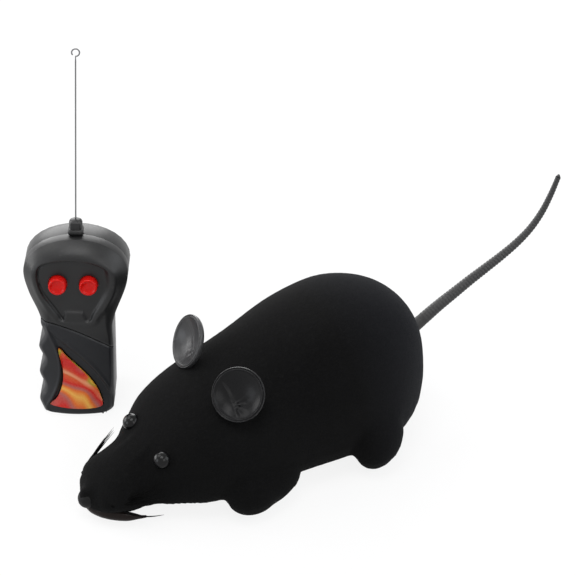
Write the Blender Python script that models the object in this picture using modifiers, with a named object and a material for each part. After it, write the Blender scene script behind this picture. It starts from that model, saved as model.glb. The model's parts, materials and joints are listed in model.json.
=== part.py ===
"""Radio controlled cat toy: a flocked mouse on wheels and its two button handset.

Metres, +Z up. The mouse lies along X with its nose toward -X and its left side
toward -Y. The handset stands on its slanted base behind the mouse's head.
"""
import math

import bmesh
import bpy
from mathutils import Euler, Vector

MM = 0.001

# Clearances
GAP = 0.3 * MM
MERGE = 0.01 * MM

# Caster
CASTER_X = 38.0 * MM
CASTER_TRAIL = 4.5 * MM
CASTER_WHEEL_RADIUS = 4.2 * MM
CASTER_WHEEL_WIDTH = 5.0 * MM
CASTER_AXLE_RADIUS = 0.8 * MM
CASTER_STEM_RADIUS = 1.5 * MM
CASTER_PLATE_RADIUS = 6.0 * MM
CASTER_ARM_WALL = 1.2 * MM
CASTER_ARM_LENGTH = 5.4 * MM
WELL_RADIUS = 10.8 * MM
WELL_ROOF = 11.5 * MM
WELL_WALL = 1.3 * MM
RETAINER_RADIUS = 3.2 * MM
RETAINER_HEIGHT = 1.3 * MM

# Cells of the mouse and of the handset are the same size
CELL_RADIUS = 5.25 * MM
CELL_LENGTH = 44.5 * MM
CELL_SPACING = 0.3 * MM
CONTACT_THICKNESS = 0.6 * MM
CONTACT_DEPTH = 1.5 * MM

# Battery bay of the mouse, behind the caster's well and in front of the drive
BAY_WALL = 1.2 * MM
BAY_FRONT_ROOM = 0.25 * MM
BAY_REAR_ROOM = 2.75 * MM
BAY_HALF_LENGTH = CELL_LENGTH / 2 + CONTACT_DEPTH + CONTACT_THICKNESS + 2 * GAP
BAY_CENTRE_X = CASTER_X + WELL_RADIUS + WELL_WALL + BAY_FRONT_ROOM + BAY_WALL + BAY_HALF_LENGTH
DOOR_THICKNESS = 1.4 * MM
DOOR_LUG_RADIUS = 3.2 * MM
DOOR_LUG_REACH = 3.2 * MM

# Drive
WHEEL_RADIUS = 9.5 * MM
WHEEL_WIDTH = 5.0 * MM
WHEEL_INNER_Y = 12.9 * MM
HUB_RADIUS = 6.9 * MM
AXLE_RADIUS = 1.0 * MM
GEAR_MODULE = 0.6 * MM
PINION_TEETH = 8
REDUCTION_TEETH = 22
SMALL_TEETH = 10
AXLE_TEETH = 20
GEAR_WIDTH = 3.0 * MM
GEAR_PLANE_Y = 5.0 * MM
PIN_RADIUS = 0.9 * MM
MOTOR_RADIUS = 6.2 * MM
MOTOR_LENGTH = 16.0 * MM
MOTOR_SHAFT_RADIUS = 0.75 * MM
HOUSING_HALF_LENGTH = 9.6 * MM
AXLE_X = BAY_CENTRE_X + BAY_HALF_LENGTH + BAY_WALL + BAY_REAR_ROOM + HOUSING_HALF_LENGTH
HOUSING_WALL = 1.2 * MM
GEAR_SIDE_ROOM = 1.3 * MM
HOUSING_HALF_WIDTH = GEAR_PLANE_Y + GEAR_WIDTH / 2 + GEAR_SIDE_ROOM + HOUSING_WALL
HOUSING_FLOOR = 1.4 * MM
HOUSING_TOP = 33.6 * MM
HOUSING_FLANGE = 2.0 * MM

# Mouse shell, in mm: along the body, half width, crown height, height of the widest line, underside
REAR = AXLE_X / MM
BODY_SECTIONS = (
    (0.0, 5.4, 11.0, 8.0, 6.0),
    (4.0, 10.4, 15.2, 8.4, 6.0),
    (11.5, 14.1, 19.5, 9.0, 6.0),
    (25.0, 18.8, 27.2, 12.2, 6.0),
    (40.0, 28.4, 37.8, 16.8, 6.0),
    (57.0, 31.8, 43.8, 18.8, 6.0),
    (77.0, 32.2, 51.6, 20.2, 6.0),
    (REAR - 19.0, 34.4, 58.8, 22.2, 6.0),
    (REAR, 35.4, 60.4, 23.6, 6.0),
    (REAR + 15.0, 27.8, 57.0, 24.8, 6.4),
    (REAR + 26.5, 15.8, 46.4, 26.0, 9.5),
    (REAR + 33.0, 2.0, 30.0, 27.0, 20.0),
)
BODY_LENGTH = BODY_SECTIONS[-1][0] * MM
BELLY_SHARE = 0.74
SHELL_WALL = 1.8 * MM
CROWN_POWER = 2.2
BELLY_POWER = 2.3
SHELL_STATIONS = 24
CAVITY_STATIONS = 15
CAVITY_START = 9.0 * MM
CAVITY_END = AXLE_X + 24.0 * MM

# Paws, moulded in one with the shell
FRONT_PAW_X = 60.3 * MM
FRONT_PAW_Y = 30.4 * MM
FRONT_PAW_SIZE = (32.0 * MM, 15.0 * MM, 16.8 * MM)
FRONT_PAW_TILT = math.radians(3.0)
FRONT_PAW_YAW = math.radians(5.0)
REAR_PAW_X = AXLE_X - 5.0 * MM
REAR_PAW_Y = 32.4 * MM
REAR_PAW_SIZE = (26.0 * MM, 18.2 * MM, 20.4 * MM)
REAR_PAW_TILT = math.radians(44.0)
REAR_PAW_YAW = math.radians(30.0)
PAW_CLEARANCE = 1.6 * MM

# Face
EYE_X = 26.0 * MM
EYE_Y = 12.6 * MM
EYE_RADIUS = 2.9 * MM
EYE_PROUD = 0.6 * MM
NOSE_SIZE = (7.4 * MM, 6.8 * MM, 7.6 * MM)
NOSE_X = 0.2 * MM
NOSE_Z = 10.6 * MM
JAW_START = 0.6 * MM
JAW_END = 27.0 * MM
JAW_THICKNESS = 1.8 * MM
JAW_PROUD = 0.7 * MM
WHISKER_ROOT = (5.5 * MM, 10.4 * MM, 11.0 * MM)
WHISKER_ROOT_RADIUS = 1.0 * MM
WHISKER_ROOT_DEPTH = 3.0 * MM
WHISKER_ROOT_PROUD = 1.5 * MM
WHISKER_RADIUS = 0.42 * MM
WHISKER_TIPS = (
    (23.0, 18.5, 20.6),
    (20.5, 17.5, 18.2),
    (24.0, 20.0, 17.0),
    (21.0, 22.0, 14.0),
    (18.5, 23.5, 9.5),
)

# Ears
EAR_RADIUS = 10.4 * MM
EAR_X = 56.0 * MM
EAR_Y = 18.8 * MM
EAR_RISE = 9.0 * MM
LEFT_EAR_FACING = (-0.62, -0.50, 0.60)
RIGHT_EAR_FACING = (-0.835, 0.135, 0.534)
EAR_STEM_RADIUS = 1.6 * MM
EAR_STEM_DROP = 8.5 * MM
EAR_DEPTH = 3.2 * MM
EAR_WALL = 1.1 * MM

# Tail
TAIL_ROOT = (AXLE_X + 21.0 * MM, 22.9 * MM)
TAIL_ROUTE = ((10.5, 28.2), (22.5, 34.7), (45.0, 45.0), (64.0, 54.2), (74.9, 68.2), (79.0, 76.2))
TAIL_ROOT_RADIUS = 2.5 * MM
TAIL_TIP_RADIUS = 1.15 * MM
TAIL_RIB_DEPTH = 0.32 * MM
TAIL_PLAIN_LENGTH = 13.5 * MM
TAIL_RIBS = 58
TAIL_COLLAR_RADIUS = 3.6 * MM
TAIL_COLLAR_LENGTH = 1.4 * MM

# Base plate
PLATE_BOTTOM = 6.0 * MM
PLATE_THICKNESS = 1.6 * MM
PLATE_START = 10.0 * MM
PLATE_END = AXLE_X + 20.0 * MM
PLATE_MARGIN = 2.6 * MM
PLATE_TOP = PLATE_BOTTOM + PLATE_THICKNESS

# Screws of the mouse
BASE_SCREW_PLACES = (("base_screw_front", 18.0, 0.0), ("base_screw_rear_left", REAR + 16.0, -11.5),
                     ("base_screw_rear_right", REAR + 16.0, 11.5))
SCREW_SHANK_RADIUS = 0.9 * MM
SCREW_HEAD_RADIUS = 2.0 * MM
SCREW_HEAD_HEIGHT = 0.9 * MM
SCREW_LENGTH = 8.0 * MM
POST_RADIUS = 2.7 * MM

# Electronics of the mouse
BOARD_THICKNESS = 1.6 * MM
RECEIVER_SIZE = (34.0 * MM, 22.0 * MM)
SWITCH_X = BAY_CENTRE_X - 4.5 * MM
SWITCH_Y = -16.4 * MM
SWITCH_SIZE = (10.0 * MM, 4.6 * MM, 4.5 * MM)
KNOB_SIZE = (2.6 * MM, 2.2 * MM)
KNOB_TRAVEL = 3.0 * MM
KNOB_REACH = 1.2 * MM

# Handset, in its own upright frame: X to the right, Z up, its face toward -Y
HANDSET_X = 33.6 * MM
HANDSET_Y = 64.8 * MM
HANDSET_TURN = math.radians(-33.6)
HANDSET_LEAN = math.radians(12.0)
HEAD_HALF_WIDTH = 20.2 * MM
GRIP_HALF_WIDTH = 13.9 * MM
GRIP_CORNER = 4.0 * MM
GRIP_LEFT_CORNER = 2.2 * MM
GRIP_WAVE = 1.0 * MM
GRIP_WAIST = 0.4 * MM
NECK_DIP = 0.9 * MM
HANDSET_FOOT = -1.0 * MM
FOOT_SAG = 1.6 * MM
GRIP_WAVE_PITCH = 11.1 * MM
GRIP_WAVE_START = 4.9 * MM
HANDSET_WALL = 1.2 * MM
FACE_THICKNESS = 1.8 * MM
BACK_THICKNESS = 1.5 * MM
HEAD_BEVEL = 5.6 * MM
HEAD_BEVEL_DEPTH = 5.6 * MM
GRIP_BEVEL = 1.6 * MM
GRIP_BEVEL_DEPTH = 1.6 * MM
REAR_BEVEL = 1.0 * MM
CAVITY_FLOOR = 6.4 * MM
SEAM_SAG = 1.2 * MM
PANEL_RECESS = 0.8 * MM
BUTTON_SPACING = 11.9 * MM
BUTTON_SHIFT = -0.7 * MM
BUTTON_RADIUS = 3.5 * MM
BUTTON_PROUD = 3.0 * MM
BUTTON_FLANGE = 0.9 * MM
BUTTON_TRAVEL = 0.8 * MM
INSERT_THICKNESS = 1.0 * MM
INSERT_RECESS = 0.7 * MM
INSERT_SHIFT = -0.6 * MM

# Antenna
BOSS_COLLAR_RADIUS = 3.0 * MM
BOSS_COLLAR_HEIGHT = 2.6 * MM
BOSS_NECK_RADIUS = 2.15 * MM
BOSS_NECK_HEIGHT = 3.6 * MM
WIRE_RADIUS = 0.36 * MM
ANTENNA_TOP = 146.5 * MM
ANTENNA_LEAN = math.radians(1.8)
LOOP_RADIUS = 1.5 * MM
LOOP_TURN = math.radians(312.0)

# Inside the handset
PCB_THICKNESS = 1.4 * MM
PCB_FRONT = 3.4 * MM
PCB_HALF_WIDTH = 10.0 * MM
PCB_BOTTOM = 9.0 * MM
TACT_SIZE = 6.0 * MM
TACT_HEIGHT = 3.0 * MM
CRYSTAL_SIZE = (10.0 * MM, 3.2 * MM, 3.8 * MM)
HANDSET_CELL_Y = 4.0 * MM
HANDSET_CELL_START = 8.0 * MM
CASE_SCREW_X = 13.4 * MM
CASE_POST_RADIUS = 1.9 * MM
CASE_SHANK_RADIUS = 0.8 * MM
CASE_SCREW_RADIUS = 1.7 * MM
HANDSET_DOOR_THICKNESS = 1.3 * MM
HANDSET_DOOR_HALF_WIDTH = 10.6 * MM
HANDSET_TONGUE_HALF_WIDTH = 4.0 * MM
HANDSET_TONGUE_LENGTH = 6.0 * MM
DOOR_LAP = 1.6 * MM
CELL_DOOR_ROOM = 0.45 * MM
HANDSET_HALF_DEPTH = HANDSET_CELL_Y + CELL_RADIUS + CELL_DOOR_ROOM + HANDSET_DOOR_THICKNESS

# Heights of the handset: its cells set how tall it is, and the rest hangs from its top
HEAD_ROOM = 10.9 * MM
HANDSET_DOOR_TOP = HANDSET_CELL_START + CELL_LENGTH + CONTACT_THICKNESS + DOOR_LAP
HANDSET_HEIGHT = HANDSET_DOOR_TOP + HANDSET_TONGUE_LENGTH + HEAD_ROOM
HEAD_CENTRE = HANDSET_HEIGHT - 13.6 * MM
BUTTON_HEIGHT = HANDSET_HEIGHT - 16.8 * MM
GRIP_TOP = BUTTON_HEIGHT - 19.8 * MM
SEAM_LEFT = BUTTON_HEIGHT - 15.5 * MM
SEAM_RIGHT = BUTTON_HEIGHT - 26.7 * MM
INSERT_TOP = SEAM_RIGHT - 0.9 * MM
PCB_TOP = HANDSET_HEIGHT - 7.1 * MM
CASE_SCREW_Z = HANDSET_HEIGHT - 11.6 * MM

TOY = "remote_control_cat_toy"


def clear_scene():
    """Remove every object that the file opened with."""
    for item in list(bpy.data.objects):
        bpy.data.objects.remove(item, do_unlink=True)


def new_collection(name):
    """Link a new collection to the scene."""
    group = bpy.data.collections.new(name)
    bpy.context.scene.collection.children.link(group)
    return group


def empty(name, location, parent=None, rotation=(0.0, 0.0, 0.0)):
    """An empty that carries an assembly or marks a joint's axis."""
    marker = bpy.data.objects.new(name, None)
    marker.empty_display_size = 0.01
    marker.location = location
    marker.rotation_euler = rotation
    marker.parent = parent
    PARTS.objects.link(marker)
    return marker


def material(name, colour, roughness, metallic=0.0):
    """A Principled material."""
    finish = bpy.data.materials.new(name)
    finish.use_nodes = True
    shader = finish.node_tree.nodes["Principled BSDF"]
    shader.inputs["Base Color"].default_value = (*colour, 1.0)
    shader.inputs["Roughness"].default_value = roughness
    shader.inputs["Metallic"].default_value = metallic
    finish.diffuse_color = (*colour, 1.0)
    return finish


def solid(name, mesh, parent, finish, location=(0.0, 0.0, 0.0), rotation=(0.0, 0.0, 0.0)):
    """Put a mesh in the toy's collection under its parent."""
    item = bpy.data.objects.new(name, mesh)
    item.location = location
    item.rotation_euler = rotation
    item.parent = parent
    if finish is not None:
        mesh.materials.append(finish)
    PARTS.objects.link(item)
    return item


def tool(name, mesh, parent, location=(0.0, 0.0, 0.0), rotation=(0.0, 0.0, 0.0)):
    """Put a mesh in the cutters' collection."""
    item = bpy.data.objects.new(name, mesh)
    item.location = location
    item.rotation_euler = rotation
    item.parent = parent
    item.hide_render = True
    item.display_type = "WIRE"
    CUTTERS.objects.link(item)
    return item


def combine(item, other, operation):
    """Add an exact Boolean with another object."""
    step = item.modifiers.new(f"{operation.lower()} {other.name}", "BOOLEAN")
    step.operation = operation
    step.solver = "EXACT"
    step.object = other


def finish_mesh(bm, name, smooth_angle=35.0):
    """Turn a bmesh into a mesh, smooth where it is round."""
    bmesh.ops.recalc_face_normals(bm, faces=bm.faces)
    mesh = bpy.data.meshes.new(name)
    bm.to_mesh(mesh)
    bm.free()
    mesh.shade_smooth()
    mesh.set_sharp_from_angle(angle=math.radians(smooth_angle))
    return mesh


def box_mesh(name, size, centre=(0.0, 0.0, 0.0), bevel=0.0, segments=2):
    """A box from a cube primitive, with rounded edges if asked."""
    bm = bmesh.new()
    bmesh.ops.create_cube(bm, size=1.0)
    bmesh.ops.scale(bm, vec=size, verts=bm.verts)
    bmesh.ops.translate(bm, vec=centre, verts=bm.verts)
    if bevel > 0.0:
        bmesh.ops.bevel(bm, geom=bm.edges[:], offset=bevel, segments=segments, profile=0.5,
                        affect="EDGES")
    return finish_mesh(bm, name)


def rod_mesh(name, radius, length, segments=16, top_radius=None):
    """A cylinder or a cone along +Z from its foot at the origin."""
    bm = bmesh.new()
    upper = radius if top_radius is None else top_radius
    bmesh.ops.create_cone(bm, cap_ends=True, segments=segments, radius1=radius, radius2=upper,
                          depth=length)
    bmesh.ops.translate(bm, vec=(0.0, 0.0, length / 2), verts=bm.verts)
    return finish_mesh(bm, name)


def ball_mesh(name, size, rings=10, segments=16):
    """An ellipsoid of the given overall size."""
    bm = bmesh.new()
    bmesh.ops.create_uvsphere(bm, u_segments=segments, v_segments=rings, radius=0.5)
    bmesh.ops.scale(bm, vec=size, verts=bm.verts)
    return finish_mesh(bm, name, 60.0)


def loft_mesh(name, rings, smooth_angle=35.0):
    """A closed skin through rings of equal point count, with flat ends."""
    bm = bmesh.new()
    loops = [[bm.verts.new(point) for point in ring] for ring in rings]
    count = len(rings[0])
    for near, far in zip(loops, loops[1:]):
        for i in range(count):
            j = (i + 1) % count
            bm.faces.new((near[i], near[j], far[j], far[i]))
    bm.faces.new(list(reversed(loops[0])))
    bm.faces.new(loops[-1])
    return finish_mesh(bm, name, smooth_angle)


def curve_to_mesh(name, curve):
    """Evaluate a curve and weld its caps."""
    carrier = bpy.data.objects.new(name + "_curve", curve)
    bpy.context.scene.collection.objects.link(carrier)
    graph = bpy.context.evaluated_depsgraph_get()
    mesh = bpy.data.meshes.new_from_object(carrier.evaluated_get(graph))
    bm = bmesh.new()
    bm.from_mesh(mesh)
    bmesh.ops.remove_doubles(bm, verts=bm.verts, dist=MERGE)
    bpy.data.objects.remove(carrier, do_unlink=True)
    return finish_mesh(bm, name)


def sheet_mesh(name, outlines, thickness):
    """A flat outline, with any holes in it, raised from Z 0 by its thickness."""
    curve = bpy.data.curves.new(name, "CURVE")
    curve.dimensions = "2D"
    curve.fill_mode = "BOTH"
    curve.extrude = thickness / 2
    for outline in outlines:
        spline = curve.splines.new("POLY")
        spline.points.add(len(outline) - 1)
        for point, (x, y) in zip(spline.points, outline):
            point.co = (x, y, 0.0, 1.0)
        spline.use_cyclic_u = True
    mesh = curve_to_mesh(name, curve)
    bm = bmesh.new()
    bm.from_mesh(mesh)
    bpy.data.meshes.remove(mesh)
    if len(outlines) == 1:
        bmesh.ops.dissolve_limit(bm, angle_limit=math.radians(0.5), verts=bm.verts, edges=bm.edges)
    bmesh.ops.translate(bm, vec=(0.0, 0.0, thickness / 2), verts=bm.verts)
    return finish_mesh(bm, name)


def tube_mesh(name, points, radii, resolution=2):
    """A tube through points, each with its own radius, capped at both ends."""
    curve = bpy.data.curves.new(name, "CURVE")
    curve.dimensions = "3D"
    curve.bevel_depth = 1.0
    curve.bevel_resolution = resolution
    curve.use_fill_caps = True
    spline = curve.splines.new("POLY")
    spline.points.add(len(points) - 1)
    for point, place, radius in zip(spline.points, points, radii):
        point.co = (*place, 1.0)
        point.radius = radius
    return curve_to_mesh(name, curve)


def turned(item, steps=24):
    """Spin an object's profile about its own Z."""
    spin = item.modifiers.new("turn", "SCREW")
    spin.axis = "Z"
    spin.angle = math.tau
    spin.steps = steps
    spin.render_steps = steps
    spin.use_merge_vertices = True
    spin.merge_threshold = MERGE
    spin.use_smooth_shade = True
    return item


def profile_mesh(name, points):
    """A half profile in XZ, listed down its outer side, for turning."""
    mesh = bpy.data.meshes.new(name)
    closed = points[0] == points[-1]
    places = [(x, 0.0, z) for x, z in (points[:-1] if closed else points)]
    edges = [(i, i + 1) for i in range(len(places) - 1)]
    if closed:
        edges.append((len(places) - 1, 0))
    mesh.from_pydata(places, edges, [])
    return mesh


def circle(radius, centre=(0.0, 0.0), count=24, phase=0.0):
    """Points round a circle."""
    return [(centre[0] + radius * math.cos(phase + math.tau * i / count),
             centre[1] + radius * math.sin(phase + math.tau * i / count)) for i in range(count)]


def smooth_step(value):
    """Ease from 0 to 1."""
    value = min(1.0, max(0.0, value))
    return value * value * (3.0 - 2.0 * value)


def smooth_path(route, count):
    """Points spaced evenly along a Catmull-Rom curve through the route."""
    knots = [route[0]] + list(route) + [route[-1]]
    fine = []
    for a, b, c, d in zip(knots, knots[1:], knots[2:], knots[3:]):
        for i in range(24):
            t = i / 24
            fine.append(0.5 * (2 * b + (c - a) * t + (2 * a - 5 * b + 4 * c - d) * t * t
                               + (3 * b - a - 3 * c + d) * t ** 3))
    fine.append(route[-1])
    lengths = [0.0]
    for a, b in zip(fine, fine[1:]):
        lengths.append(lengths[-1] + (b - a).length)
    return [point_at(fine, lengths, lengths[-1] * i / (count - 1)) for i in range(count)]


def point_at(fine, lengths, distance):
    """The point at a distance along a fine path."""
    for i in range(1, len(fine)):
        if lengths[i] >= distance or i == len(fine) - 1:
            share = (distance - lengths[i - 1]) / (lengths[i] - lengths[i - 1])
            return fine[i - 1].lerp(fine[i], share)
    return fine[-1]


# Mouse shell

def steady_slopes(places, values):
    """Slopes at the sections that keep the curve between them free of overshoot."""
    rises = [(values[i + 1] - values[i]) / (places[i + 1] - places[i]) for i in range(len(values) - 1)]
    slopes = [rises[0]]
    for left, right in zip(rises, rises[1:]):
        slopes.append(0.0 if left * right <= 0 else 2 * left * right / (left + right))
    slopes.append(rises[-1])
    return slopes


def body_value(column, x):
    """One of the body's section values at a place along it."""
    places = [row[0] * MM for row in BODY_SECTIONS]
    values = [row[column] * MM for row in BODY_SECTIONS]
    slopes = steady_slopes(places, values)
    x = min(places[-1], max(places[0], x))
    i = max(k for k in range(len(places) - 1) if places[k] <= x)
    span = places[i + 1] - places[i]
    t = (x - places[i]) / span
    start = (2 * t ** 3 - 3 * t * t + 1) * values[i] + (t ** 3 - 2 * t * t + t) * span * slopes[i]
    return start + (3 * t * t - 2 * t ** 3) * values[i + 1] + (t ** 3 - t * t) * span * slopes[i + 1]


def body_ring(x, inset, low_steps=4, high_steps=7):
    """One section of the body, drawn in by an inset."""
    half = max(body_value(1, x) - inset, 0.8 * MM)
    waist = body_value(3, x)
    crown = max(body_value(2, x) - inset, waist + 0.8 * MM)
    floor = min(body_value(4, x) + inset, waist - 0.8 * MM)
    belly = half * BELLY_SHARE
    side = [(belly / 2, floor)]
    for i in range(low_steps):
        angle = math.pi / 2 * (1 - i / low_steps)
        side.append((belly + (half - belly) * math.cos(angle) ** (2 / BELLY_POWER),
                     waist - (waist - floor) * math.sin(angle) ** (2 / BELLY_POWER)))
    for i in range(high_steps):
        angle = math.pi / 2 * i / high_steps
        side.append((half * math.cos(angle) ** (2 / CROWN_POWER),
                     waist + (crown - waist) * math.sin(angle) ** (2 / CROWN_POWER)))
    ring = [(x, 0.0, floor)] + [(x, -y, z) for y, z in side] + [(x, 0.0, crown)]
    return ring + [(x, y, z) for y, z in reversed(side)]


def crown_height(x, y):
    """Height of the shell's skin over a point of the plan."""
    half = body_value(1, x)
    waist = body_value(3, x)
    share = min(1.0, abs(y) / half)
    return waist + (body_value(2, x) - waist) * (1 - share ** CROWN_POWER) ** (1 / CROWN_POWER)


def eased_stations(start, end, count):
    """Places along the body, closer together at its ends."""
    middle = (start + end) / 2
    reach = (end - start) / 2
    places = []
    for i in range(count):
        even = -1 + 2 * i / (count - 1)
        places.append(middle + reach * (0.45 * even + 0.55 * math.sin(math.pi / 2 * even)))
    return places


def plate_outline(margin):
    """Plan of the base plate, grown by a margin."""
    start = PLATE_START - margin
    end = PLATE_END + margin
    right = []
    for i in range(15):
        x = start + (end - start) * (0.5 - 0.5 * math.cos(math.pi * i / 14))
        right.append((x, body_value(1, x) * BELLY_SHARE - PLATE_MARGIN + margin))
    return [(x, -y) for x, y in right] + [(x, y) for x, y in reversed(right)]


def paw(name, side, parent, place, size, tilt, yaw):
    """A soft lobe that stands just clear of the floor."""
    x, y = place
    lobe = tool(name, ball_mesh(name, size, 10, 16), parent, rotation=(0.0, -tilt, -side * yaw))
    drop = math.hypot(size[0] / 2 * math.sin(tilt), size[2] / 2 * math.cos(tilt))
    lobe.location = (x, side * y, PAW_CLEARANCE + drop)
    return lobe


def mouse_shell(mouse, finish):
    """The flocked shell with its paws, posts and sockets."""
    rings = [body_ring(x, 0.0) for x in eased_stations(0.0, BODY_LENGTH, SHELL_STATIONS)]
    shell = solid("mouse_shell", loft_mesh("mouse_shell", rings, 50.0), mouse, finish)
    for side, word in ((-1, "left"), (1, "right")):
        combine(shell, paw(f"{word}_front_paw", side, mouse, (FRONT_PAW_X, FRONT_PAW_Y),
                           FRONT_PAW_SIZE, FRONT_PAW_TILT, FRONT_PAW_YAW), "UNION")
        combine(shell, paw(f"{word}_rear_paw", side, mouse, (REAR_PAW_X, REAR_PAW_Y),
                           REAR_PAW_SIZE, REAR_PAW_TILT, REAR_PAW_YAW), "UNION")
    cavity = [body_ring(x, SHELL_WALL, 3, 5)
              for x in eased_stations(CAVITY_START, CAVITY_END, CAVITY_STATIONS)]
    combine(shell, tool("shell_cavity", loft_mesh("shell_cavity", cavity), mouse), "DIFFERENCE")
    opening = sheet_mesh("plate_opening", [plate_outline(GAP)], PLATE_TOP + SHELL_WALL)
    combine(shell, tool("plate_opening", opening, mouse), "DIFFERENCE")
    for name, x, y in BASE_SCREW_PLACES:
        add_screw_post(shell, mouse, name, x * MM, y * MM)
    for name, place in ear_places().items():
        hole = rod_mesh(name + "_hole", EAR_STEM_RADIUS + GAP, 1.5 * EAR_STEM_DROP, 14)
        foot = stem_foot(place) - MM * stem_way(place)
        combine(shell, tool(name + "_hole", hole, mouse, foot, stem_turn(place)), "DIFFERENCE")
    for side, word in ((-1, "left"), (1, "right")):
        socket = ball_mesh(word + "_eye_socket", [2 * (EYE_RADIUS + GAP)] * 3, 10, 16)
        combine(shell, tool(word + "_eye_socket", socket, mouse, eye_centre(side)), "DIFFERENCE")
        root = rod_mesh(word + "_whisker_hole", WHISKER_ROOT_RADIUS + GAP, 8 * MM, 12)
        combine(shell, tool(word + "_whisker_hole", root, mouse,
                            whisker_place(side, -WHISKER_ROOT_DEPTH - GAP), whisker_turn(side)),
                "DIFFERENCE")
    nose = ball_mesh("nose_socket", [edge + 2 * GAP for edge in NOSE_SIZE], 10, 16)
    combine(shell, tool("nose_socket", nose, mouse, (NOSE_X, 0, NOSE_Z)), "DIFFERENCE")
    start, turn = tail_frame()
    bore = rod_mesh("tail_hole", TAIL_ROOT_RADIUS + GAP, 18 * MM)
    combine(shell, tool("tail_hole", bore, mouse, start, turn), "DIFFERENCE")
    return shell


def add_screw_post(shell, mouse, name, x, y):
    """A post from the crown down to the base plate, bored for its screw."""
    foot = PLATE_TOP + GAP
    top = crown_height(x + POST_RADIUS, abs(y) + POST_RADIUS) - SHELL_WALL / 2
    top = min(top, crown_height(x - POST_RADIUS, abs(y) + POST_RADIUS) - SHELL_WALL / 2)
    post = rod_mesh(name + "_post", POST_RADIUS, top - foot, 14)
    combine(shell, tool(name + "_post", post, mouse, (x, y, foot)), "UNION")
    bore = rod_mesh(name + "_bore", SCREW_SHANK_RADIUS + GAP, SCREW_LENGTH + GAP, 12)
    combine(shell, tool(name + "_bore", bore, mouse, (x, y, PLATE_BOTTOM)), "DIFFERENCE")


def ear_places():
    """Centre of each ear's rim and the way it faces."""
    places = {}
    for name, side, facing in (("left_ear", -1, LEFT_EAR_FACING), ("right_ear", 1, RIGHT_EAR_FACING)):
        height = crown_height(EAR_X, EAR_Y) + EAR_RISE
        places[name] = (Vector((EAR_X, side * EAR_Y, height)), Vector(facing).normalized())
    return places


def stem_way(place):
    """Direction of an ear's stem, from inside the shell up to the back of the cup."""
    return (place[1] + Vector((0, 0, 1))).normalized()


def stem_foot(place):
    """Foot of an ear's stem, inside the shell."""
    centre, facing = place
    down = Vector((0, 0, -1)) + facing.z * facing
    back = centre + 0.38 * EAR_RADIUS * down.normalized() - EAR_DEPTH * facing
    return back - EAR_STEM_DROP * stem_way(place)


def stem_turn(place):
    """Turn of an ear's stem."""
    return stem_way(place).to_track_quat("Z", "Y").to_euler()


def ear(name, mouse, finish, place):
    """A cupped vinyl ear on a stem that plugs into the shell."""
    centre, facing = place
    rim = EAR_RADIUS
    profile = [(0.0, EAR_WALL - EAR_DEPTH - 0.4 * MM), (0.5 * rim, EAR_WALL - EAR_DEPTH + 0.2 * MM),
               (0.78 * rim, -1.0 * MM), (0.9 * rim, 0.1 * MM), (0.96 * rim, 0.6 * MM), (rim, 0.2 * MM),
               (0.97 * rim, -0.9 * MM), (0.82 * rim, -2.2 * MM), (0.5 * rim, -EAR_DEPTH - 0.1 * MM),
               (0.0, -EAR_DEPTH - 0.7 * MM)]
    cup = solid(name, profile_mesh(name, profile), mouse, finish, centre,
                facing.to_track_quat("Z", "Y").to_euler())
    turned(cup, 24)
    stem = rod_mesh(name + "_stem", EAR_STEM_RADIUS, EAR_STEM_DROP + 0.5 * EAR_WALL, 14)
    combine(cup, tool(name + "_stem", stem, mouse, stem_foot(place), stem_turn(place)), "UNION")
    return cup


def eye_centre(side):
    """Centre of a bead, just proud of the skin."""
    return Vector((EYE_X, side * EYE_Y, crown_height(EYE_X, EYE_Y) + EYE_PROUD))


def whisker_way(side):
    """Direction straight out of the cheek."""
    return Vector((-0.35, side * 0.85, 0.4)).normalized()


def whisker_turn(side):
    """Turn that points a whisker root straight out of the cheek."""
    return whisker_way(side).to_track_quat("Z", "Y").to_euler()


def whisker_place(side, out):
    """A point on a whisker root's axis, measured out from the cheek's skin."""
    x, y, z = WHISKER_ROOT
    return Vector((x, side * y, z)) + out * whisker_way(side)


def whiskers(name, side, mouse, finish):
    """A moulded tuft of spikes on one root peg."""
    peg = rod_mesh(name, WHISKER_ROOT_RADIUS, WHISKER_ROOT_DEPTH + WHISKER_ROOT_PROUD, 10)
    root = solid(name, peg, mouse, finish, whisker_place(side, -WHISKER_ROOT_DEPTH), whisker_turn(side))
    start = whisker_place(side, WHISKER_ROOT_PROUD - 0.5 * MM)
    for i, tip in enumerate(WHISKER_TIPS):
        end = Vector((tip[0], side * tip[1], tip[2])) * MM
        spike = rod_mesh(f"{name}_spike_{i}", WHISKER_RADIUS, (end - start).length, 6, 0.08 * MM)
        turn = (end - start).to_track_quat("Z", "Y").to_euler()
        combine(root, tool(f"{name}_spike_{i}", spike, mouse, start, turn), "UNION")
    return root


def tail_route():
    """Centre line of the tail in the mouse's middle plane."""
    root = TAIL_ROOT[0]
    return [Vector((root, 0, TAIL_ROOT[1]))] + [Vector((root + x * MM, 0, z * MM)) for x, z in TAIL_ROUTE]


def tail_frame():
    """Start and turn of the straight root of the tail."""
    route = tail_route()
    turn = (route[1] - route[0]).to_track_quat("Z", "Y").to_euler()
    return route[0], turn


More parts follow.
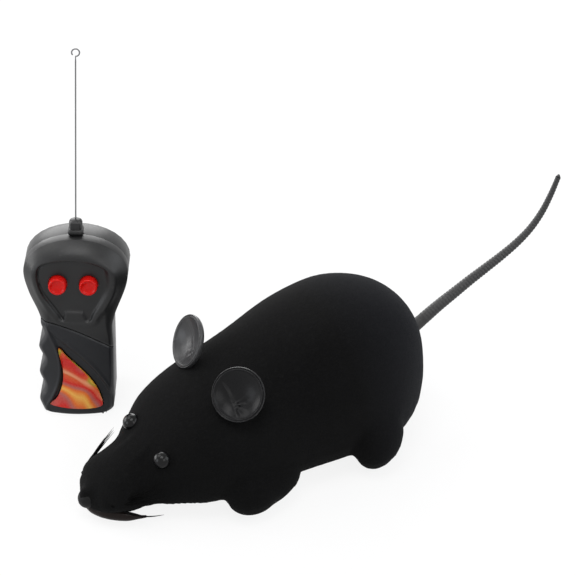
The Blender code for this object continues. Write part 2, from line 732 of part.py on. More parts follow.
def tail(mouse, finish):
    """A tapered rubber tail with rings moulded round it."""
    route = tail_route()
    count = 2 * TAIL_RIBS
    path = smooth_path(route, 400)
    length = sum((b - a).length for a, b in zip(path, path[1:]))
    plain = [path[0], path[round(399 * TAIL_PLAIN_LENGTH / length)]]
    points = list(plain)
    radii = [TAIL_ROOT_RADIUS, TAIL_ROOT_RADIUS]
    first = TAIL_PLAIN_LENGTH / length
    for i in range(1, count + 1):
        share = first + (1 - first) * i / (count + 1)
        radius = TAIL_ROOT_RADIUS + (TAIL_TIP_RADIUS - TAIL_ROOT_RADIUS) * (share - first) / (1 - first)
        points.append(path[round(399 * share)])
        radii.append(radius - (TAIL_RIB_DEPTH * radius / TAIL_ROOT_RADIUS if i % 2 else 0.0))
    points.append(path[-1])
    radii.append(0.6 * TAIL_TIP_RADIUS)
    item = solid("tail", tube_mesh("tail", points, radii), mouse, finish)
    collar = rod_mesh("tail_collar", TAIL_COLLAR_RADIUS, TAIL_COLLAR_LENGTH)
    start, turn = tail_frame()
    back = (route[0] - route[1]).normalized() * TAIL_COLLAR_LENGTH / 2
    combine(item, tool("tail_collar", collar, mouse, start + back, turn), "UNION")
    return item


def jaw(mouse, finish):
    """The glossy lower lip under the snout."""
    right = []
    for i in range(11):
        x = JAW_START + (JAW_END - JAW_START) * (1 - math.cos(math.pi / 2 * i / 10))
        half = body_value(1, x) * 0.94 + JAW_PROUD * smooth_step((x - JAW_START) / (6 * MM))
        right.append((x, half * (1 - 0.3 * smooth_step((x - 18 * MM) / (12 * MM)))))
    outline = [(x, -y) for x, y in right] + [(x, y) for x, y in reversed(right)]
    lip = solid("lower_jaw", sheet_mesh("lower_jaw", [outline], JAW_THICKNESS), mouse, finish,
                (0, 0, PLATE_BOTTOM - GAP - JAW_THICKNESS))
    clear = rod_mesh("jaw_screw_clearance", SCREW_HEAD_RADIUS + GAP, 4 * MM)
    name, x, y = BASE_SCREW_PLACES[0]
    combine(lip, tool("jaw_screw_clearance", clear, mouse, (x * MM, y * MM, PLATE_BOTTOM - 3 * MM)),
            "DIFFERENCE")
    return lip


# Mouse base and mechanism

def bay_half_length():
    """Half length of the mouse's battery bay inside."""
    return BAY_HALF_LENGTH


def bay_half_width():
    """Half width of the battery bay inside."""
    return 2 * CELL_RADIUS + CELL_SPACING / 2 + GAP


def cell_height():
    """Height of the mouse's cells' centre lines."""
    return PLATE_BOTTOM + DOOR_THICKNESS + GAP + CELL_RADIUS


def bay_roof():
    """Height of the inside of the bay's roof."""
    return cell_height() + CELL_RADIUS + GAP


def door_outline(margin):
    """Plan of the battery door round its bay's centre, with the screw lug."""
    half_x = bay_half_length() - GAP + margin
    half_y = bay_half_width() - GAP + margin
    lug = DOOR_LUG_RADIUS + margin
    reach = bay_half_width() + DOOR_LUG_REACH
    points = [(-half_x, -half_y + HINGE_BACKSET), (half_x, -half_y + HINGE_BACKSET), (half_x, half_y),
              (lug, half_y)]
    for i in range(1, 8):
        angle = math.pi * i / 8
        points.append((lug * math.cos(angle), reach + lug * math.sin(angle)))
    return points + [(-lug, half_y), (-half_x, half_y)]


HINGE_BACKSET = 0.8 * MM


def base_plate(mouse, finish):
    """The chassis plate with its caster well, battery bay and openings."""
    plate = solid("base_plate", sheet_mesh("base_plate", [plate_outline(0.0)], PLATE_THICKNESS), mouse,
                  finish, (0, 0, PLATE_BOTTOM))
    well_top = WELL_ROOF + WELL_WALL
    foot = PLATE_BOTTOM + PLATE_THICKNESS / 2
    well = rod_mesh("caster_well_wall", WELL_RADIUS + WELL_WALL, well_top - foot, 28)
    combine(plate, tool("caster_well_wall", well, mouse, (CASTER_X, 0, foot)), "UNION")
    half_x = bay_half_length()
    half_y = bay_half_width()
    bay_top = bay_roof() + BAY_WALL
    bay = box_mesh("bay_wall", (2 * (half_x + BAY_WALL), 2 * (half_y + BAY_WALL), bay_top - foot),
                   (0, 0, (bay_top - foot) / 2))
    combine(plate, tool("bay_wall", bay, mouse, (BAY_CENTRE_X, 0, foot)), "UNION")
    boss = rod_mesh("door_boss", DOOR_LUG_RADIUS, 7 * MM, 14)
    boss_y = half_y + DOOR_LUG_REACH
    combine(plate, tool("door_boss", boss, mouse, (BAY_CENTRE_X, boss_y, foot)), "UNION")
    hollow = rod_mesh("caster_well", WELL_RADIUS, WELL_ROOF, 24)
    combine(plate, tool("caster_well", hollow, mouse, (CASTER_X, 0, 0)), "DIFFERENCE")
    stem = rod_mesh("caster_stem_hole", CASTER_STEM_RADIUS + GAP, 2 * WELL_ROOF)
    combine(plate, tool("caster_stem_hole", stem, mouse, (CASTER_X, 0, 0)), "DIFFERENCE")
    inside = box_mesh("bay", (2 * half_x, 2 * half_y, bay_roof()), (0, 0, bay_roof() / 2))
    combine(plate, tool("bay", inside, mouse, (BAY_CENTRE_X, 0, 0)), "DIFFERENCE")
    recess = sheet_mesh("door_recess", [door_outline(GAP)], PLATE_BOTTOM + DOOR_THICKNESS + GAP)
    combine(plate, tool("door_recess", recess, mouse, (BAY_CENTRE_X, 0, 0)), "DIFFERENCE")
    bore = rod_mesh("door_screw_bore", SCREW_SHANK_RADIUS + GAP, 6 * MM, 12)
    combine(plate, tool("door_screw_bore", bore, mouse, (BAY_CENTRE_X, boss_y, PLATE_BOTTOM)),
            "DIFFERENCE")
    housing = box_mesh("housing_opening", (2 * (HOUSING_HALF_LENGTH + GAP),
                                           2 * (HOUSING_HALF_WIDTH + GAP), 10 * MM))
    combine(plate, tool("housing_opening", housing, mouse, (AXLE_X, 0, PLATE_BOTTOM)), "DIFFERENCE")
    for side, word in ((-1, "left"), (1, "right")):
        slot = box_mesh(word + "_wheel_slot", (2 * WHEEL_RADIUS + 2 * MM, WHEEL_WIDTH + 1.6 * MM, 10 * MM))
        place = (AXLE_X, side * (WHEEL_INNER_Y + WHEEL_WIDTH / 2), PLATE_BOTTOM)
        combine(plate, tool(word + "_wheel_slot", slot, mouse, place), "DIFFERENCE")
    for name, x, y in BASE_SCREW_PLACES:
        hole = rod_mesh(name + "_hole", SCREW_SHANK_RADIUS + GAP, 10 * MM, 12)
        combine(plate, tool(name + "_hole", hole, mouse, (x * MM, y * MM, 0)), "DIFFERENCE")
    slot = box_mesh("knob_slot", (KNOB_SIZE[0] + KNOB_TRAVEL + 2 * GAP, KNOB_SIZE[1] + 2 * GAP, 10 * MM))
    combine(plate, tool("knob_slot", slot, mouse, (SWITCH_X, SWITCH_Y, PLATE_BOTTOM)), "DIFFERENCE")
    return plate


def screw(name, parent, finish, location, rotation=(0.0, 0.0, 0.0), shank=SCREW_SHANK_RADIUS,
          head=SCREW_HEAD_RADIUS, length=SCREW_LENGTH):
    """A pan head screw whose head's underside is at its origin, shank along +Z."""
    height = SCREW_HEAD_HEIGHT
    profile = [(0.0, length), (0.5 * shank, length), (shank, length - shank), (shank, 0.0), (head, 0.0),
               (head, -0.5 * height), (0.7 * head, -height), (0.0, -height)]
    return turned(solid(name, profile_mesh(name, profile), parent, finish, location, rotation), 12)


def base_screws(mouse, finish):
    """The three screws that hold the plate to the shell's posts."""
    for name, x, y in BASE_SCREW_PLACES:
        screw(name, mouse, finish, (x * MM, y * MM, PLATE_BOTTOM - GAP), length=SCREW_LENGTH)


def caster(mouse, plastic, steel, rubber):
    """The swivelling front caster: fork, retaining washer, wheel and its axle."""
    axis = empty("caster_swivel_axis", (CASTER_X, 0, 0), mouse)
    top = WELL_ROOF - GAP
    plate_height = 1.2 * MM
    fork = solid("caster_fork", rod_mesh("caster_fork", CASTER_PLATE_RADIUS, plate_height, 20), axis,
                 plastic, (0, 0, top - plate_height))
    stem_top = WELL_ROOF + WELL_WALL + GAP + RETAINER_HEIGHT + 0.6 * MM
    stem = rod_mesh("caster_stem", CASTER_STEM_RADIUS, stem_top - top + plate_height / 2)
    combine(fork, tool("caster_stem", stem, axis, (0, 0, top - plate_height / 2)), "UNION")
    arm_inner = CASTER_WHEEL_WIDTH / 2 + GAP
    foot = CASTER_WHEEL_RADIUS - CASTER_AXLE_RADIUS - 0.9 * MM
    height = top - plate_height / 2 - foot
    for side, word in ((-1, "left"), (1, "right")):
        arm = box_mesh(word + "_fork_arm", (CASTER_ARM_LENGTH, CASTER_ARM_WALL, height))
        place = (CASTER_TRAIL - 0.8 * MM, side * (arm_inner + CASTER_ARM_WALL / 2), foot + height / 2)
        combine(fork, tool(word + "_fork_arm", arm, axis, place), "UNION")
    hub = empty("caster_wheel_axis", (CASTER_TRAIL, 0, CASTER_WHEEL_RADIUS), axis)
    along = (math.radians(-90), 0, 0)
    reach = arm_inner + CASTER_ARM_WALL + 0.4 * MM
    bore = rod_mesh("fork_axle_hole", CASTER_AXLE_RADIUS + GAP, 2 * reach + 2 * MM, 12)
    combine(fork, tool("fork_axle_hole", bore, hub, (0, -reach - MM, 0), along), "DIFFERENCE")
    solid("caster_axle", rod_mesh("caster_axle", CASTER_AXLE_RADIUS, 2 * reach, 12), hub, steel,
          (0, -reach, 0), along)
    radius = CASTER_WHEEL_RADIUS
    half = CASTER_WHEEL_WIDTH / 2
    hole = CASTER_AXLE_RADIUS + GAP
    profile = [(hole, half), (radius - 0.5 * MM, half), (radius, half - 0.5 * MM),
               (radius, -half + 0.5 * MM), (radius - 0.5 * MM, -half), (hole, -half), (hole, half)]
    turned(solid("caster_wheel", profile_mesh("caster_wheel", profile), hub, rubber, (0, 0, 0), along), 24)
    washer_foot = WELL_ROOF + WELL_WALL + GAP
    inner = CASTER_STEM_RADIUS + GAP
    ring = [circle(RETAINER_RADIUS, count=18), circle(inner, count=12)]
    solid("caster_retainer", sheet_mesh("caster_retainer", ring, RETAINER_HEIGHT), axis, steel,
          (0, 0, washer_foot))


def cell(name, parent, finish, location, rotation):
    """A cylindrical cell with its raised button, centred on its length."""
    half = CELL_LENGTH / 2
    nub = 1.9 * MM
    step = 0.8 * MM
    profile = [(0.0, half), (nub, half), (nub, half - step), (CELL_RADIUS - 0.4 * MM, half - step),
               (CELL_RADIUS, half - step - 0.4 * MM), (CELL_RADIUS, -half + 0.3 * MM),
               (CELL_RADIUS - 0.3 * MM, -half), (0.0, -half)]
    return turned(solid(name, profile_mesh(name, profile), parent, finish, location, rotation), 18)


def contact(name, parent, finish, location, rotation, half_width, height, signs):
    """A contact plate with a pressed cone toward each cell."""
    plate = solid(name, box_mesh(name, (2 * half_width, height, CONTACT_THICKNESS)), parent, finish,
                  location, rotation)
    for i, sign in enumerate(signs):
        depth = CONTACT_DEPTH + CONTACT_THICKNESS / 2 - GAP
        spike = rod_mesh(f"{name}_cone_{i}", 2.4 * MM, depth, 12, 1.2 * MM)
        place = (sign * (CELL_RADIUS + CELL_SPACING / 2), 0, 0)
        bump = tool(f"{name}_cone_{i}", spike, plate, place)
        combine(plate, bump, "UNION")
    return plate


def mouse_power(mouse, finishes):
    """Cells, contacts and the hinged battery door of the mouse."""
    offset = CELL_RADIUS + CELL_SPACING / 2
    height = cell_height()
    forward = (0, math.radians(-90), 0)
    backward = (0, math.radians(90), 0)
    cell("mouse_cell_left", mouse, finishes["cell"], (BAY_CENTRE_X, -offset, height), forward)
    cell("mouse_cell_right", mouse, finishes["cell"], (BAY_CENTRE_X, offset, height), backward)
    end = bay_half_length() - GAP - CONTACT_THICKNESS / 2
    wide = bay_half_width() - GAP
    tall = 8.0 * MM
    contact("mouse_contact_front", mouse, finishes["steel"], (BAY_CENTRE_X - end, 0, height),
            (math.radians(90), 0, math.radians(90)), wide, tall, (-1, 1))
    contact("mouse_contact_rear", mouse, finishes["steel"], (BAY_CENTRE_X + end, 0, height),
            (math.radians(90), 0, math.radians(-90)), wide, tall, (-1, 1))
    hinge_y = -bay_half_width() + HINGE_BACKSET + DOOR_THICKNESS / 2
    axis = empty("mouse_door_axis", (BAY_CENTRE_X, hinge_y, PLATE_BOTTOM + DOOR_THICKNESS / 2), mouse)
    door = solid("mouse_battery_door", sheet_mesh("mouse_battery_door", [door_outline(0.0)],
                                                  DOOR_THICKNESS), axis, finishes["base"],
                 (0, -hinge_y, -DOOR_THICKNESS / 2))
    length = 2 * (bay_half_length() - GAP)
    knuckle = rod_mesh("door_knuckle", DOOR_THICKNESS / 2, length, 12)
    combine(door, tool("door_knuckle", knuckle, axis, (-length / 2, 0, 0), (0, math.radians(90), 0)),
            "UNION")
    boss_y = bay_half_width() + DOOR_LUG_REACH
    hole = rod_mesh("door_screw_hole", SCREW_SHANK_RADIUS + GAP, 10 * MM, 12)
    combine(door, tool("door_screw_hole", hole, mouse, (BAY_CENTRE_X, boss_y, 0)), "DIFFERENCE")
    screw("mouse_door_screw", axis, finishes["steel"],
          (0, boss_y - hinge_y, -DOOR_THICKNESS / 2 - GAP), length=5.4 * MM)


def gear_outline(teeth, phase):
    """Points round a spur gear with slim teeth."""
    pitch = GEAR_MODULE * teeth / 2
    outer = pitch + 0.8 * GEAR_MODULE
    root = pitch - 1.1 * GEAR_MODULE
    step = math.tau / teeth
    foot = 0.62 * GEAR_MODULE / root
    tip = 0.30 * GEAR_MODULE / outer
    points = []
    for i in range(teeth):
        middle = phase + i * step
        for radius, angle in ((root, -foot), (outer, -tip), (outer, tip), (root, foot)):
            points.append((radius * math.cos(middle + angle), radius * math.sin(middle + angle)))
    return points


def gear(name, teeth, phase, bore, parent, finish, y):
    """A spur gear about Y, centred on a plane."""
    mesh = sheet_mesh(name, [gear_outline(teeth, phase), circle(bore, count=12)], GEAR_WIDTH)
    return solid(name, mesh, parent, finish, (0, y + GEAR_WIDTH / 2, 0), (math.radians(90), 0, 0))


def drive(mouse, finishes):
    """Motor, pinion, reduction gear and driven axle in their housing."""
    axle_z = WHEEL_RADIUS
    reduction_z = axle_z + GEAR_MODULE * (SMALL_TEETH + AXLE_TEETH) / 2
    motor_z = reduction_z + GEAR_MODULE * (PINION_TEETH + REDUCTION_TEETH) / 2
    axle = empty("drive_axle_axis", (AXLE_X, 0, axle_z), mouse)
    reduction = empty("reduction_axis", (AXLE_X, 0, reduction_z), mouse)
    motor = empty("motor_axis", (AXLE_X, 0, motor_z), mouse)
    along = (math.radians(-90), 0, 0)
    low_plane = GEAR_PLANE_Y - GEAR_WIDTH - GAP
    up = math.pi / 2
    gear("axle_gear", AXLE_TEETH, up, AXLE_RADIUS + GAP, axle, finishes["gear"], low_plane)
    big = gear("reduction_gear", REDUCTION_TEETH, up + math.pi / REDUCTION_TEETH, PIN_RADIUS + GAP,
               reduction, finishes["gear"], GEAR_PLANE_Y)
    phase = up + math.pi / SMALL_TEETH * (SMALL_TEETH + 1)
    outline = [gear_outline(SMALL_TEETH, phase), circle(PIN_RADIUS + GAP, count=12)]
    small = sheet_mesh("small_gear", outline, GEAR_WIDTH + 2 * GAP)
    combine(big, tool("small_gear", small, reduction, (0, low_plane + GEAR_WIDTH / 2 + 2 * GAP, 0),
                      (math.radians(90), 0, 0)), "UNION")
    gear("motor_pinion", PINION_TEETH, -up, MOTOR_SHAFT_RADIUS + GAP, motor, finishes["brass"],
         GEAR_PLANE_Y)
    reach = WHEEL_INNER_Y + WHEEL_WIDTH + 0.6 * MM
    solid("drive_axle", rod_mesh("drive_axle", AXLE_RADIUS, 2 * reach, 14), axle, finishes["steel"],
          (0, -reach, 0), along)
    wall = HOUSING_HALF_WIDTH
    solid("reduction_pin", rod_mesh("reduction_pin", PIN_RADIUS, 2 * wall, 12), reduction,
          finishes["steel"], (0, -wall, 0), along)
    face = wall + GAP
    shaft_start = GEAR_PLANE_Y - GEAR_WIDTH / 2 - 0.4 * MM
    bearing = 4.0 * MM
    solid("motor_shaft", rod_mesh("motor_shaft", MOTOR_SHAFT_RADIUS, face + bearing - shaft_start, 12),
          motor, finishes["steel"], (0, shaft_start, 0), along)
    can = solid("drive_motor", rod_mesh("drive_motor", MOTOR_RADIUS, MOTOR_LENGTH, 24), mouse,
                finishes["motor"], (AXLE_X, face, motor_z), along)
    bore = rod_mesh("motor_bearing_bore", MOTOR_SHAFT_RADIUS + GAP, bearing + 2 * GAP, 12)
    combine(can, tool("motor_bearing_bore", bore, motor, (0, face - GAP, 0), along), "DIFFERENCE")
    for side, word in ((-1, "left"), (1, "right")):
        wheel(word, side, axle, finishes)
    housing(mouse, finishes, (axle, reduction, motor))


def wheel(word, side, axle, finishes):
    """A hub and its tyre."""
    along = (math.radians(-90 * side), 0, 0)
    place = (0, side * WHEEL_INNER_Y, 0)
    bore = AXLE_RADIUS + GAP
    width = WHEEL_WIDTH
    disc = [(bore, width), (2.6 * MM, width), (3.0 * MM, 0.66 * width), (0.76 * HUB_RADIUS, 0.66 * width),
            (0.84 * HUB_RADIUS, width), (HUB_RADIUS, width), (HUB_RADIUS, 0.0), (bore, 0.0), (bore, width)]
    turned(solid(word + "_wheel_hub", profile_mesh(word + "_wheel_hub", disc), axle, finishes["wheel"],
                 place, along), 24)
    inner = HUB_RADIUS + GAP
    edge = 0.6 * MM
    tread = [(inner, width), (WHEEL_RADIUS - edge, width), (WHEEL_RADIUS, width - edge),
             (WHEEL_RADIUS, edge), (WHEEL_RADIUS - edge, 0.0), (inner, 0.0), (inner, width)]
    turned(solid(word + "_tyre", profile_mesh(word + "_tyre", tread), axle, finishes["rubber"], place,
                 along), 28)


def housing(mouse, finishes, axes):
    """The open gearbox tray with its flange, and the cover on it."""
    size = (2 * HOUSING_HALF_LENGTH, 2 * HOUSING_HALF_WIDTH, HOUSING_TOP - HOUSING_FLOOR)
    body = solid("gearbox_housing", box_mesh("gearbox_housing", size, (0, 0, size[2] / 2)), mouse,
                 finishes["housing"], (AXLE_X, 0, HOUSING_FLOOR))
    flange_size = (size[0], size[1] + 2 * HOUSING_FLANGE, HOUSING_WALL)
    flange_z = PLATE_TOP + GAP + HOUSING_WALL / 2
    combine(body, tool("housing_flange", box_mesh("housing_flange", flange_size), mouse,
                       (AXLE_X, 0, flange_z)), "UNION")
    inner = (size[0] - 2 * HOUSING_WALL, size[1] - 2 * HOUSING_WALL, size[2])
    place = (AXLE_X, 0, HOUSING_FLOOR + HOUSING_WALL + size[2] / 2)
    combine(body, tool("housing_inside", box_mesh("housing_inside", inner), mouse, place), "DIFFERENCE")
    along = (math.radians(-90), 0, 0)
    wall = HOUSING_HALF_WIDTH + HOUSING_FLANGE + MM
    for axis, radius in zip(axes, (AXLE_RADIUS, PIN_RADIUS, MOTOR_SHAFT_RADIUS)):
        name = axis.name + "_hole"
        hole = rod_mesh(name, radius + GAP, 2 * wall, 12)
        combine(body, tool(name, hole, axis, (0, -wall, 0), along), "DIFFERENCE")
    cover = box_mesh("gearbox_cover", (size[0], size[1], HOUSING_WALL), bevel=0.3 * MM, segments=1)
    solid("gearbox_cover", cover, mouse, finishes["housing"],
          (AXLE_X, 0, HOUSING_TOP + GAP + HOUSING_WALL / 2))


def mouse_electronics(mouse, finishes):
    """Receiver board on the bay's roof, and the sliding power switch."""
    length, width = RECEIVER_SIZE
    foot = bay_roof() + BAY_WALL + GAP
    board = box_mesh("receiver_board", (length, width, BOARD_THICKNESS), (0, 0, BOARD_THICKNESS / 2))
    solid("receiver_board", board, mouse, finishes["board"], (BAY_CENTRE_X, 0, foot))
    body = box_mesh("power_switch", SWITCH_SIZE, (0, 0, SWITCH_SIZE[2] / 2))
    switch = solid("power_switch", body, mouse, finishes["steel"], (SWITCH_X, SWITCH_Y, PLATE_TOP + GAP))
    groove = box_mesh("switch_groove", (KNOB_SIZE[0] + KNOB_TRAVEL + 2 * GAP, KNOB_SIZE[1] + 2 * GAP,
                                        2 * MM))
    combine(switch, tool("switch_groove", groove, mouse, (SWITCH_X, SWITCH_Y, PLATE_TOP + GAP)),
            "DIFFERENCE")
    height = PLATE_THICKNESS + 2 * GAP + KNOB_REACH
    knob = box_mesh("switch_knob", (KNOB_SIZE[0], KNOB_SIZE[1], height), (0, 0, height / 2), 0.25 * MM, 1)
    solid("switch_knob", knob, mouse, finishes["knob"],
          (SWITCH_X - KNOB_TRAVEL / 2, SWITCH_Y, PLATE_BOTTOM - KNOB_REACH))


# Handset

def head_blend(height):
    """0 on the grip and 1 on the head."""
    return smooth_step((height - GRIP_TOP) / (HEAD_CENTRE - GRIP_TOP))


def half_width(height, left, head_inset, grip_inset):
    """Half width of the handset's face at a height, with finger waves on its left."""
    if height >= HEAD_CENTRE:
        share = (height - HEAD_CENTRE) / (HANDSET_HEIGHT - head_inset - HEAD_CENTRE)
        return (HEAD_HALF_WIDTH - head_inset) * math.sqrt(max(0.0, 1 - share * share))
    blend = head_blend(height)
    width = GRIP_HALF_WIDTH + (HEAD_HALF_WIDTH - GRIP_HALF_WIDTH) * blend
    if left:
        fade = 1 - smooth_step((height - GRIP_TOP) / (6 * MM))
        phase = math.tau * (height - GRIP_WAVE_START) / GRIP_WAVE_PITCH
        neck = 1 - smooth_step(abs(height - GRIP_TOP - 4 * MM) / (10 * MM))
        width += fade * (GRIP_WAVE * math.cos(phase) - GRIP_WAIST) - NECK_DIP * neck
    return width - grip_inset - (head_inset - grip_inset) * blend


def side_heights(bottom, corner, head_inset):
    """Heights of the outline's points, from the bottom corner to the crown."""
    heights = [bottom + corner * (1 - math.cos(math.pi / 2 * i / 3)) for i in range(4)]
    waves = 18
    first = heights[-1]
    heights += [first + (GRIP_TOP - first) * i / waves for i in range(1, waves + 1)]
    heights += [GRIP_TOP + (HEAD_CENTRE - GRIP_TOP) * i / 6 for i in range(1, 7)]
    rise = HANDSET_HEIGHT - head_inset - HEAD_CENTRE
    heights += [HEAD_CENTRE + rise * math.sin(math.pi / 2 * i / 8) for i in range(1, 8)]
    return heights


def handset_outline(bottom, head_inset, grip_inset):
    """Outline of the handset's face, drawn in by insets, counted from its bottom middle."""
    corner = max(GRIP_CORNER - grip_inset, 0.5 * MM)
    foot = [(x * GRIP_HALF_WIDTH, bottom + grip_inset - FOOT_SAG * (1 - x * x)) for x in (-0.4, 0.0, 0.4)]
    right = []
    left = []
    left_corner = max(GRIP_LEFT_CORNER - grip_inset, 0.4 * MM)
    foot_height = bottom + grip_inset
    for i, height in enumerate(side_heights(foot_height, corner, head_inset)):
        cut = corner * (1 - math.sin(math.pi / 2 * i / 3)) if i < 3 else 0.0
        right.append((half_width(height, False, head_inset, grip_inset) - cut, height))
        short = max(0.0, left_corner - (height - foot_height))
        cut = left_corner - math.sqrt(left_corner * left_corner - short * short)
        left.append((cut - half_width(height, True, head_inset, grip_inset), height))
    return foot + right + [(0.0, HANDSET_HEIGHT - head_inset)] + list(reversed(left))


def handset_ring(bottom, head, grip):
    """A ring of the handset: each of head and grip gives an inset and a Y."""
    return [(x, grip[1] + (head[1] - grip[1]) * head_blend(z), z)
            for x, z in handset_outline(bottom, head[0], grip[0])]


def front_rings(extra, depth, back, bottom):
    """Rings of the front half, drawn in by an extra inset, to a depth of face."""
    return [handset_ring(bottom, (extra, back), (extra, back)),
            handset_ring(bottom, (extra, HEAD_BEVEL_DEPTH - depth), (extra, GRIP_BEVEL_DEPTH - depth)),
            handset_ring(bottom, (extra + HEAD_BEVEL, -depth), (extra + GRIP_BEVEL, -depth))]


def rear_rings(extra, depth, front, bottom):
    """Rings of the rear half."""
    shoulder = depth - REAR_BEVEL
    return [handset_ring(bottom, (extra, front), (extra, front)),
            handset_ring(bottom, (extra, shoulder), (extra, shoulder)),
            handset_ring(bottom, (extra + REAR_BEVEL, depth), (extra + REAR_BEVEL, depth))]


def seam_height(x):
    """Height of the seam between the face cover and the grip cover."""
    share = (x + GRIP_HALF_WIDTH) / (2 * GRIP_HALF_WIDTH)
    return SEAM_LEFT + (SEAM_RIGHT - SEAM_LEFT) * share + SEAM_SAG * 4 * share * (1 - share)


def seam_slab(name, handset, upper):
    """A slab over or under the seam, for parting the front."""
    margin = -GAP / 2 if upper else GAP / 2
    xs = [(-26 + 52 * i / 16) * MM for i in range(17)]
    line = [(x, seam_height(x) + margin) for x in xs]
    far = 100 * MM if upper else -30 * MM
    outline = line + [(xs[-1], far), (xs[0], far)]
    slab = sheet_mesh(name, [outline], 60 * MM)
    return tool(name, slab, handset, (0, 30 * MM, 0), (math.radians(90), 0, 0))


def front_body(name, handset, finish):
    """The whole front half, hollow, before it is parted at the seam."""
    rings = front_rings(0.0, HANDSET_HALF_DEPTH, -GAP / 2, HANDSET_FOOT)
    item = solid(name, loft_mesh(name, rings), handset, finish)
    cavity = front_rings(HANDSET_WALL, HANDSET_HALF_DEPTH - FACE_THICKNESS, MM, CAVITY_FLOOR - HANDSET_WALL)
    combine(item, tool(name + "_cavity", loft_mesh(name + "_cavity", cavity), handset), "DIFFERENCE")
    return item


def flat_cutter(name, handset, outlines, depth, thickness):
    """A flat outline in the handset's face, standing back from a depth."""
    mesh = sheet_mesh(name, outlines, thickness)
    return tool(name, mesh, handset, (0, -depth, 0), (math.radians(90), 0, 0))


def panel_outline():
    """The recessed shield round the buttons, with the small tab at its foot."""
    half = []
    for x, rise in ((4.6, -16.8), (5.2, -13.6), (9.2, -9.4), (12.6, -3.8), (14.0, 1.6), (13.2, 6.0),
                    (10.4, 8.4), (5.4, 9.5)):
        half.append((x * MM, BUTTON_HEIGHT + rise * MM))
    return half + [(-x, z) for x, z in reversed(half)]


def insert_outline(margin):
    """The curved triangle of the decorative insert."""
    corners = ((-6.2, 1.0), (-4.6, 0.6875), (-4.9, 0.4485), (-7.0, 0.2206), (-9.8, 0.1066), (-4.4, 0.0699),
               (1.2, 0.0588), (6.0, 0.0662), (9.8, 0.0919), (10.6, 0.1838), (8.8, 0.375), (5.6, 0.5441),
               (1.4, 0.7059), (-2.6, 0.8529))
    return grow([Vector((INSERT_SHIFT + x * MM, share * INSERT_TOP)) for x, share in corners], margin)


def grow(loop, margin):
    """A counterclockwise outline offset outward, with its corners kept sharp."""
    grown = []
    for i, point in enumerate(loop):
        before = (point - loop[i - 1]).normalized()
        after = (loop[(i + 1) % len(loop)] - point).normalized()
        first = Vector((before.y, -before.x))
        second = Vector((after.y, -after.x))
        place = point + (first + second) * margin / (1 + first.dot(second))
        grown.append((place.x, place.y))
    return grown


def handset_covers(handset, floor, finishes):
    """Face cover, grip cover, rear cover and the insert."""
    face = front_body("face_cover", handset, finishes["face"])
    combine(face, seam_slab("below_seam", handset, False), "DIFFERENCE")
    depth = HANDSET_HALF_DEPTH - PANEL_RECESS
    combine(face, flat_cutter("panel_recess", handset, [panel_outline()], depth, 4 * MM), "DIFFERENCE")
    for side, word in ((-1, "left"), (1, "right")):
        x = BUTTON_SHIFT + side * BUTTON_SPACING / 2
        hole = rod_mesh(word + "_button_hole", BUTTON_RADIUS + GAP, 8 * MM, 20)
        combine(face, tool(word + "_button_hole", hole, handset, (x, -HANDSET_HALF_DEPTH + 4 * MM,
                                                                 BUTTON_HEIGHT), (math.radians(90), 0, 0)),
                "DIFFERENCE")
        x = side * CASE_SCREW_X
        length = HANDSET_HALF_DEPTH - FACE_THICKNESS + 0.1 * MM - GAP / 2
        post = rod_mesh(word + "_case_post", CASE_POST_RADIUS, length, 12)
        combine(face, tool(word + "_case_post", post, handset, (x, -GAP / 2, CASE_SCREW_Z),
                           (math.radians(90), 0, 0)), "UNION")
        bore = rod_mesh(word + "_case_bore", CASE_SHANK_RADIUS + GAP, 7 * MM, 12)
        combine(face, tool(word + "_case_bore", bore, handset, (x, 0, CASE_SCREW_Z),
                           (math.radians(90), 0, 0)), "DIFFERENCE")
    grip = front_body("grip_cover", handset, finishes["grip"])
    combine(grip, seam_slab("above_seam", handset, True), "DIFFERENCE")
    combine(grip, floor, "DIFFERENCE")
    depth = HANDSET_HALF_DEPTH - INSERT_RECESS
    combine(grip, flat_cutter("insert_recess", handset, [insert_outline(GAP)], depth, 4 * MM),
            "DIFFERENCE")
    boss_room(face, handset)
    art = sheet_mesh("decor_insert", [insert_outline(0.0)], INSERT_THICKNESS)
    solid("decor_insert", art, handset, finishes["insert"], (0, -depth - GAP, 0), (math.radians(90), 0, 0))
    rear_cover(handset, floor, finishes)


def boss_room(cover, handset):
    """Clear the antenna's collar and neck out of a cover's top wall."""
    neck = rod_mesh(cover.name + "_neck_room", BOSS_NECK_RADIUS + GAP, 12 * MM, 20)
    top = HANDSET_HEIGHT - 6 * MM
    combine(cover, tool(cover.name + "_neck_room", neck, handset, (0, 0, top)), "DIFFERENCE")


def door_bottom():
    """Height of the handset door's lower edge."""
    return CAVITY_FLOOR + GAP


def door_top():
    """Height of the handset door's upper edge, below its tongue."""
    return HANDSET_DOOR_TOP


def tongue_outline(margin):
    """Outline of the handset's battery door with its screw tongue."""
    half = HANDSET_DOOR_HALF_WIDTH + margin
    low = door_bottom() + HINGE_BACKSET - margin
    high = door_top() + margin
    tip = door_top() + HANDSET_TONGUE_LENGTH + margin
    narrow = HANDSET_TONGUE_HALF_WIDTH + margin
    return [(-half, low), (half, low), (half, high), (narrow, high), (narrow, tip - 1.5 * MM),
            (narrow - 1.5 * MM, tip), (1.5 * MM - narrow, tip), (-narrow, tip - 1.5 * MM), (-narrow, high),
            (-half, high)]


